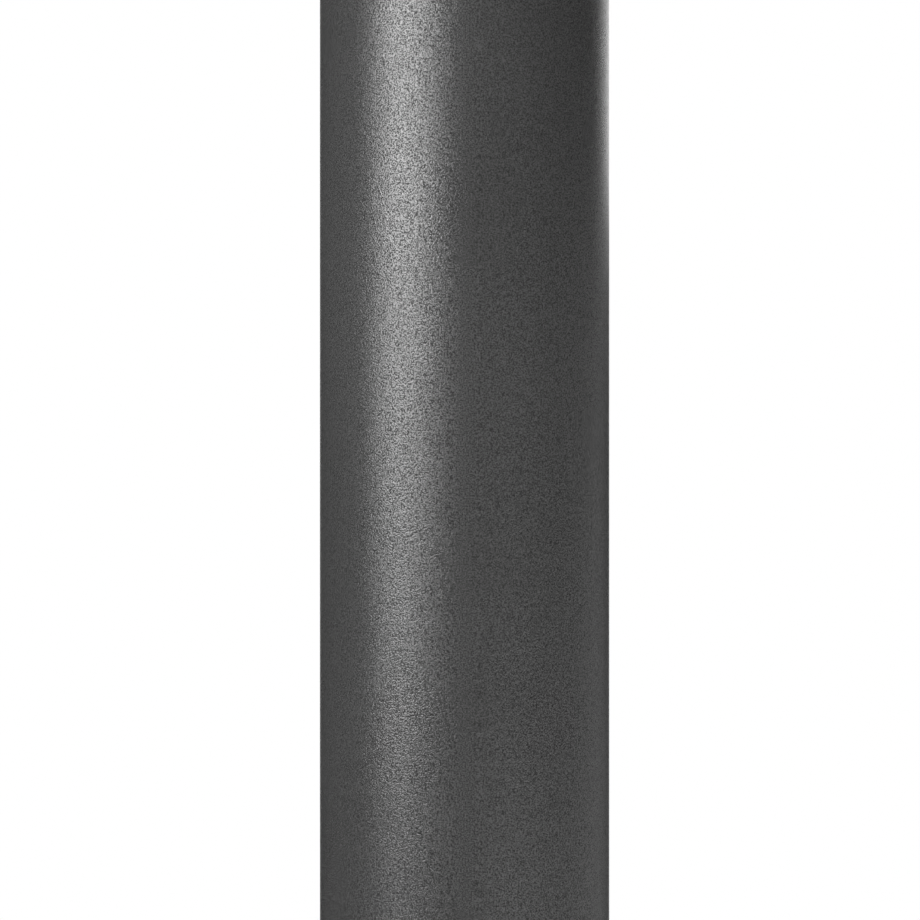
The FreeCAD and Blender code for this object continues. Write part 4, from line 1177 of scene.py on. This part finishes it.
class LAMPPOST_OT_stage(LampPiece, bpy.types.Operator):
    """Lays the pale floor, and sets the camera and the soft lights"""

    bl_idname = "lamp_post.stage"
    bl_label = "Stage"

    def execute(self, context):
        stage = settings()[2]
        scene = context.scene
        bm = bmesh.new()
        bmesh.ops.create_circle(bm, cap_ends=True, segments=96, radius=stage.floor_radius)
        mesh = bpy.data.meshes.new("floor")
        bm.to_mesh(mesh)
        bm.free()
        floor = bpy.data.objects.new("floor", mesh)
        scene.collection.objects.link(floor)
        material, tree, _ = new_material("Pale matt floor")
        matt = {"Base Color": colour("e9e9e8"), "Roughness": 0.9}
        close_material(tree, add(tree, "ShaderNodeBsdfPrincipled", matt))
        mesh.materials.append(material)

        world = bpy.data.worlds.new("Studio")
        world.use_nodes = True
        tree = world.node_tree
        tree.nodes.clear()
        path = add(tree, "ShaderNodeLightPath").outputs
        # the backdrop is white to the eye, straight or through the bowl, and dim as a light
        straight, through = path["Is Camera Ray"], path["Is Transmission Ray"]
        seen = add(tree, "ShaderNodeMath", {0: straight, 1: through}, operation="MAXIMUM").outputs["Value"]
        glow = add(tree, "ShaderNodeBackground", {"Color": (1, 1, 1, 1), "Strength": 0.04})
        backdrop = add(tree, "ShaderNodeBackground", {"Color": (1, 1, 1, 1), "Strength": 1.0})
        both = {"Fac": seen, 1: glow.outputs["Background"], 2: backdrop.outputs["Background"]}
        mixed = add(tree, "ShaderNodeMixShader", both)
        add(tree, "ShaderNodeOutputWorld", {"Surface": mixed.outputs["Shader"]})
        scene.world = world
        scene.view_settings.view_transform = "Standard"

        # a key at the left front whose light ends at eye level, soft walls low on the right, and a rim behind
        soft_light("key_high", around_axis(-45, 0.7, 2.65), 0.58, 1.5, 3.2)
        soft_light("key", around_axis(-45, 0.7, 1.8), 0.58, 0.2, 11.6)
        soft_light("key_low", around_axis(-52.5, 0.7, 1.625), 0.375, 0.15, 8.0)
        soft_light("wall_front_right", around_axis(52.5, 0.7, 0.95), 0.81, 1.5, 0.3)
        soft_light("wall_back_right", around_axis(112.5, 0.7, 0.95), 0.81, 1.5, 0.35)
        soft_light("low_front_right", around_axis(45, 0.7, 0.7), 0.58, 1.0, 3.5)
        soft_light("rim_back_right", around_axis(157.5, 0.7, 2.5), 0.375, 1.6, 1.6)
        soft_light("back_wall", around_axis(180, 4.0, 2.2), 1.6, 4.0, 1.0)
        soft_light("lantern_front", around_axis(20, 2.2, 5.2), 2.0, 2.0, 1.5, 3.7)
        soft_light("lantern_back", around_axis(-150, 2.4, 5.4), 2.0, 2.0, 1.5, 3.7)
        soft_light("ceiling", Vector((0, 0.01, 10.0)), 16.0, 16.0, 1.9, 3.7)

        camera = bpy.data.objects.new("camera", bpy.data.cameras.new("camera"))
        camera.data.lens = stage.lens
        camera.data.sensor_width = 36
        camera.data.clip_end = 200
        camera.location = (stage.camera_side, -stage.camera_distance, stage.camera_height)
        camera.rotation_euler = (math.radians(90), 0, 0)
        scene.collection.objects.link(camera)
        scene.camera = camera
        return {"FINISHED"}


PIECES = (
    LAMPPOST_OT_shaft,
    LAMPPOST_OT_flange,
    LAMPPOST_OT_door,
    LAMPPOST_OT_lock,
    LAMPPOST_OT_fuses,
    LAMPPOST_OT_socket,
    LAMPPOST_OT_stem,
    LAMPPOST_OT_bowl,
    LAMPPOST_OT_lens,
    LAMPPOST_OT_pan,
    LAMPPOST_OT_lid,
    LAMPPOST_OT_finishes,
    LAMPPOST_OT_stage,
)


class LAMPPOST_PT_panel(bpy.types.Panel):
    """Lists the lamp post's sizes, finishes and pieces"""

    bl_idname = "LAMPPOST_PT_panel"
    bl_label = "Lamp Post"
    bl_space_type = "VIEW_3D"
    bl_region_type = "UI"
    bl_category = "Lamp Post"

    def draw(self, context):
        for group in settings():
            box = self.layout.box()
            for name in group.__annotations__:
                box.prop(group, name)
        for piece in PIECES:
            self.layout.operator(piece.bl_idname)


GROUPS = {
    "lamp_post_shape": LampPostShape,
    "lamp_post_finish": LampPostFinish,
    "lamp_post_stage": LampPostStage,
}


def register():
    for cls in (*GROUPS.values(), *PIECES, LAMPPOST_PT_panel):
        bpy.utils.register_class(cls)
    for name, group in GROUPS.items():
        setattr(bpy.types.Scene, name, PointerProperty(type=group))


def unregister():
    for name in GROUPS:
        delattr(bpy.types.Scene, name)
    for cls in (LAMPPOST_PT_panel, *reversed(PIECES), *reversed(GROUPS.values())):
        bpy.utils.unregister_class(cls)


def main():
    register()
    for piece in PIECES:
        group, name = piece.bl_idname.split(".")
        getattr(getattr(bpy.ops, group), name)()


if __name__ == "__main__":
    main()
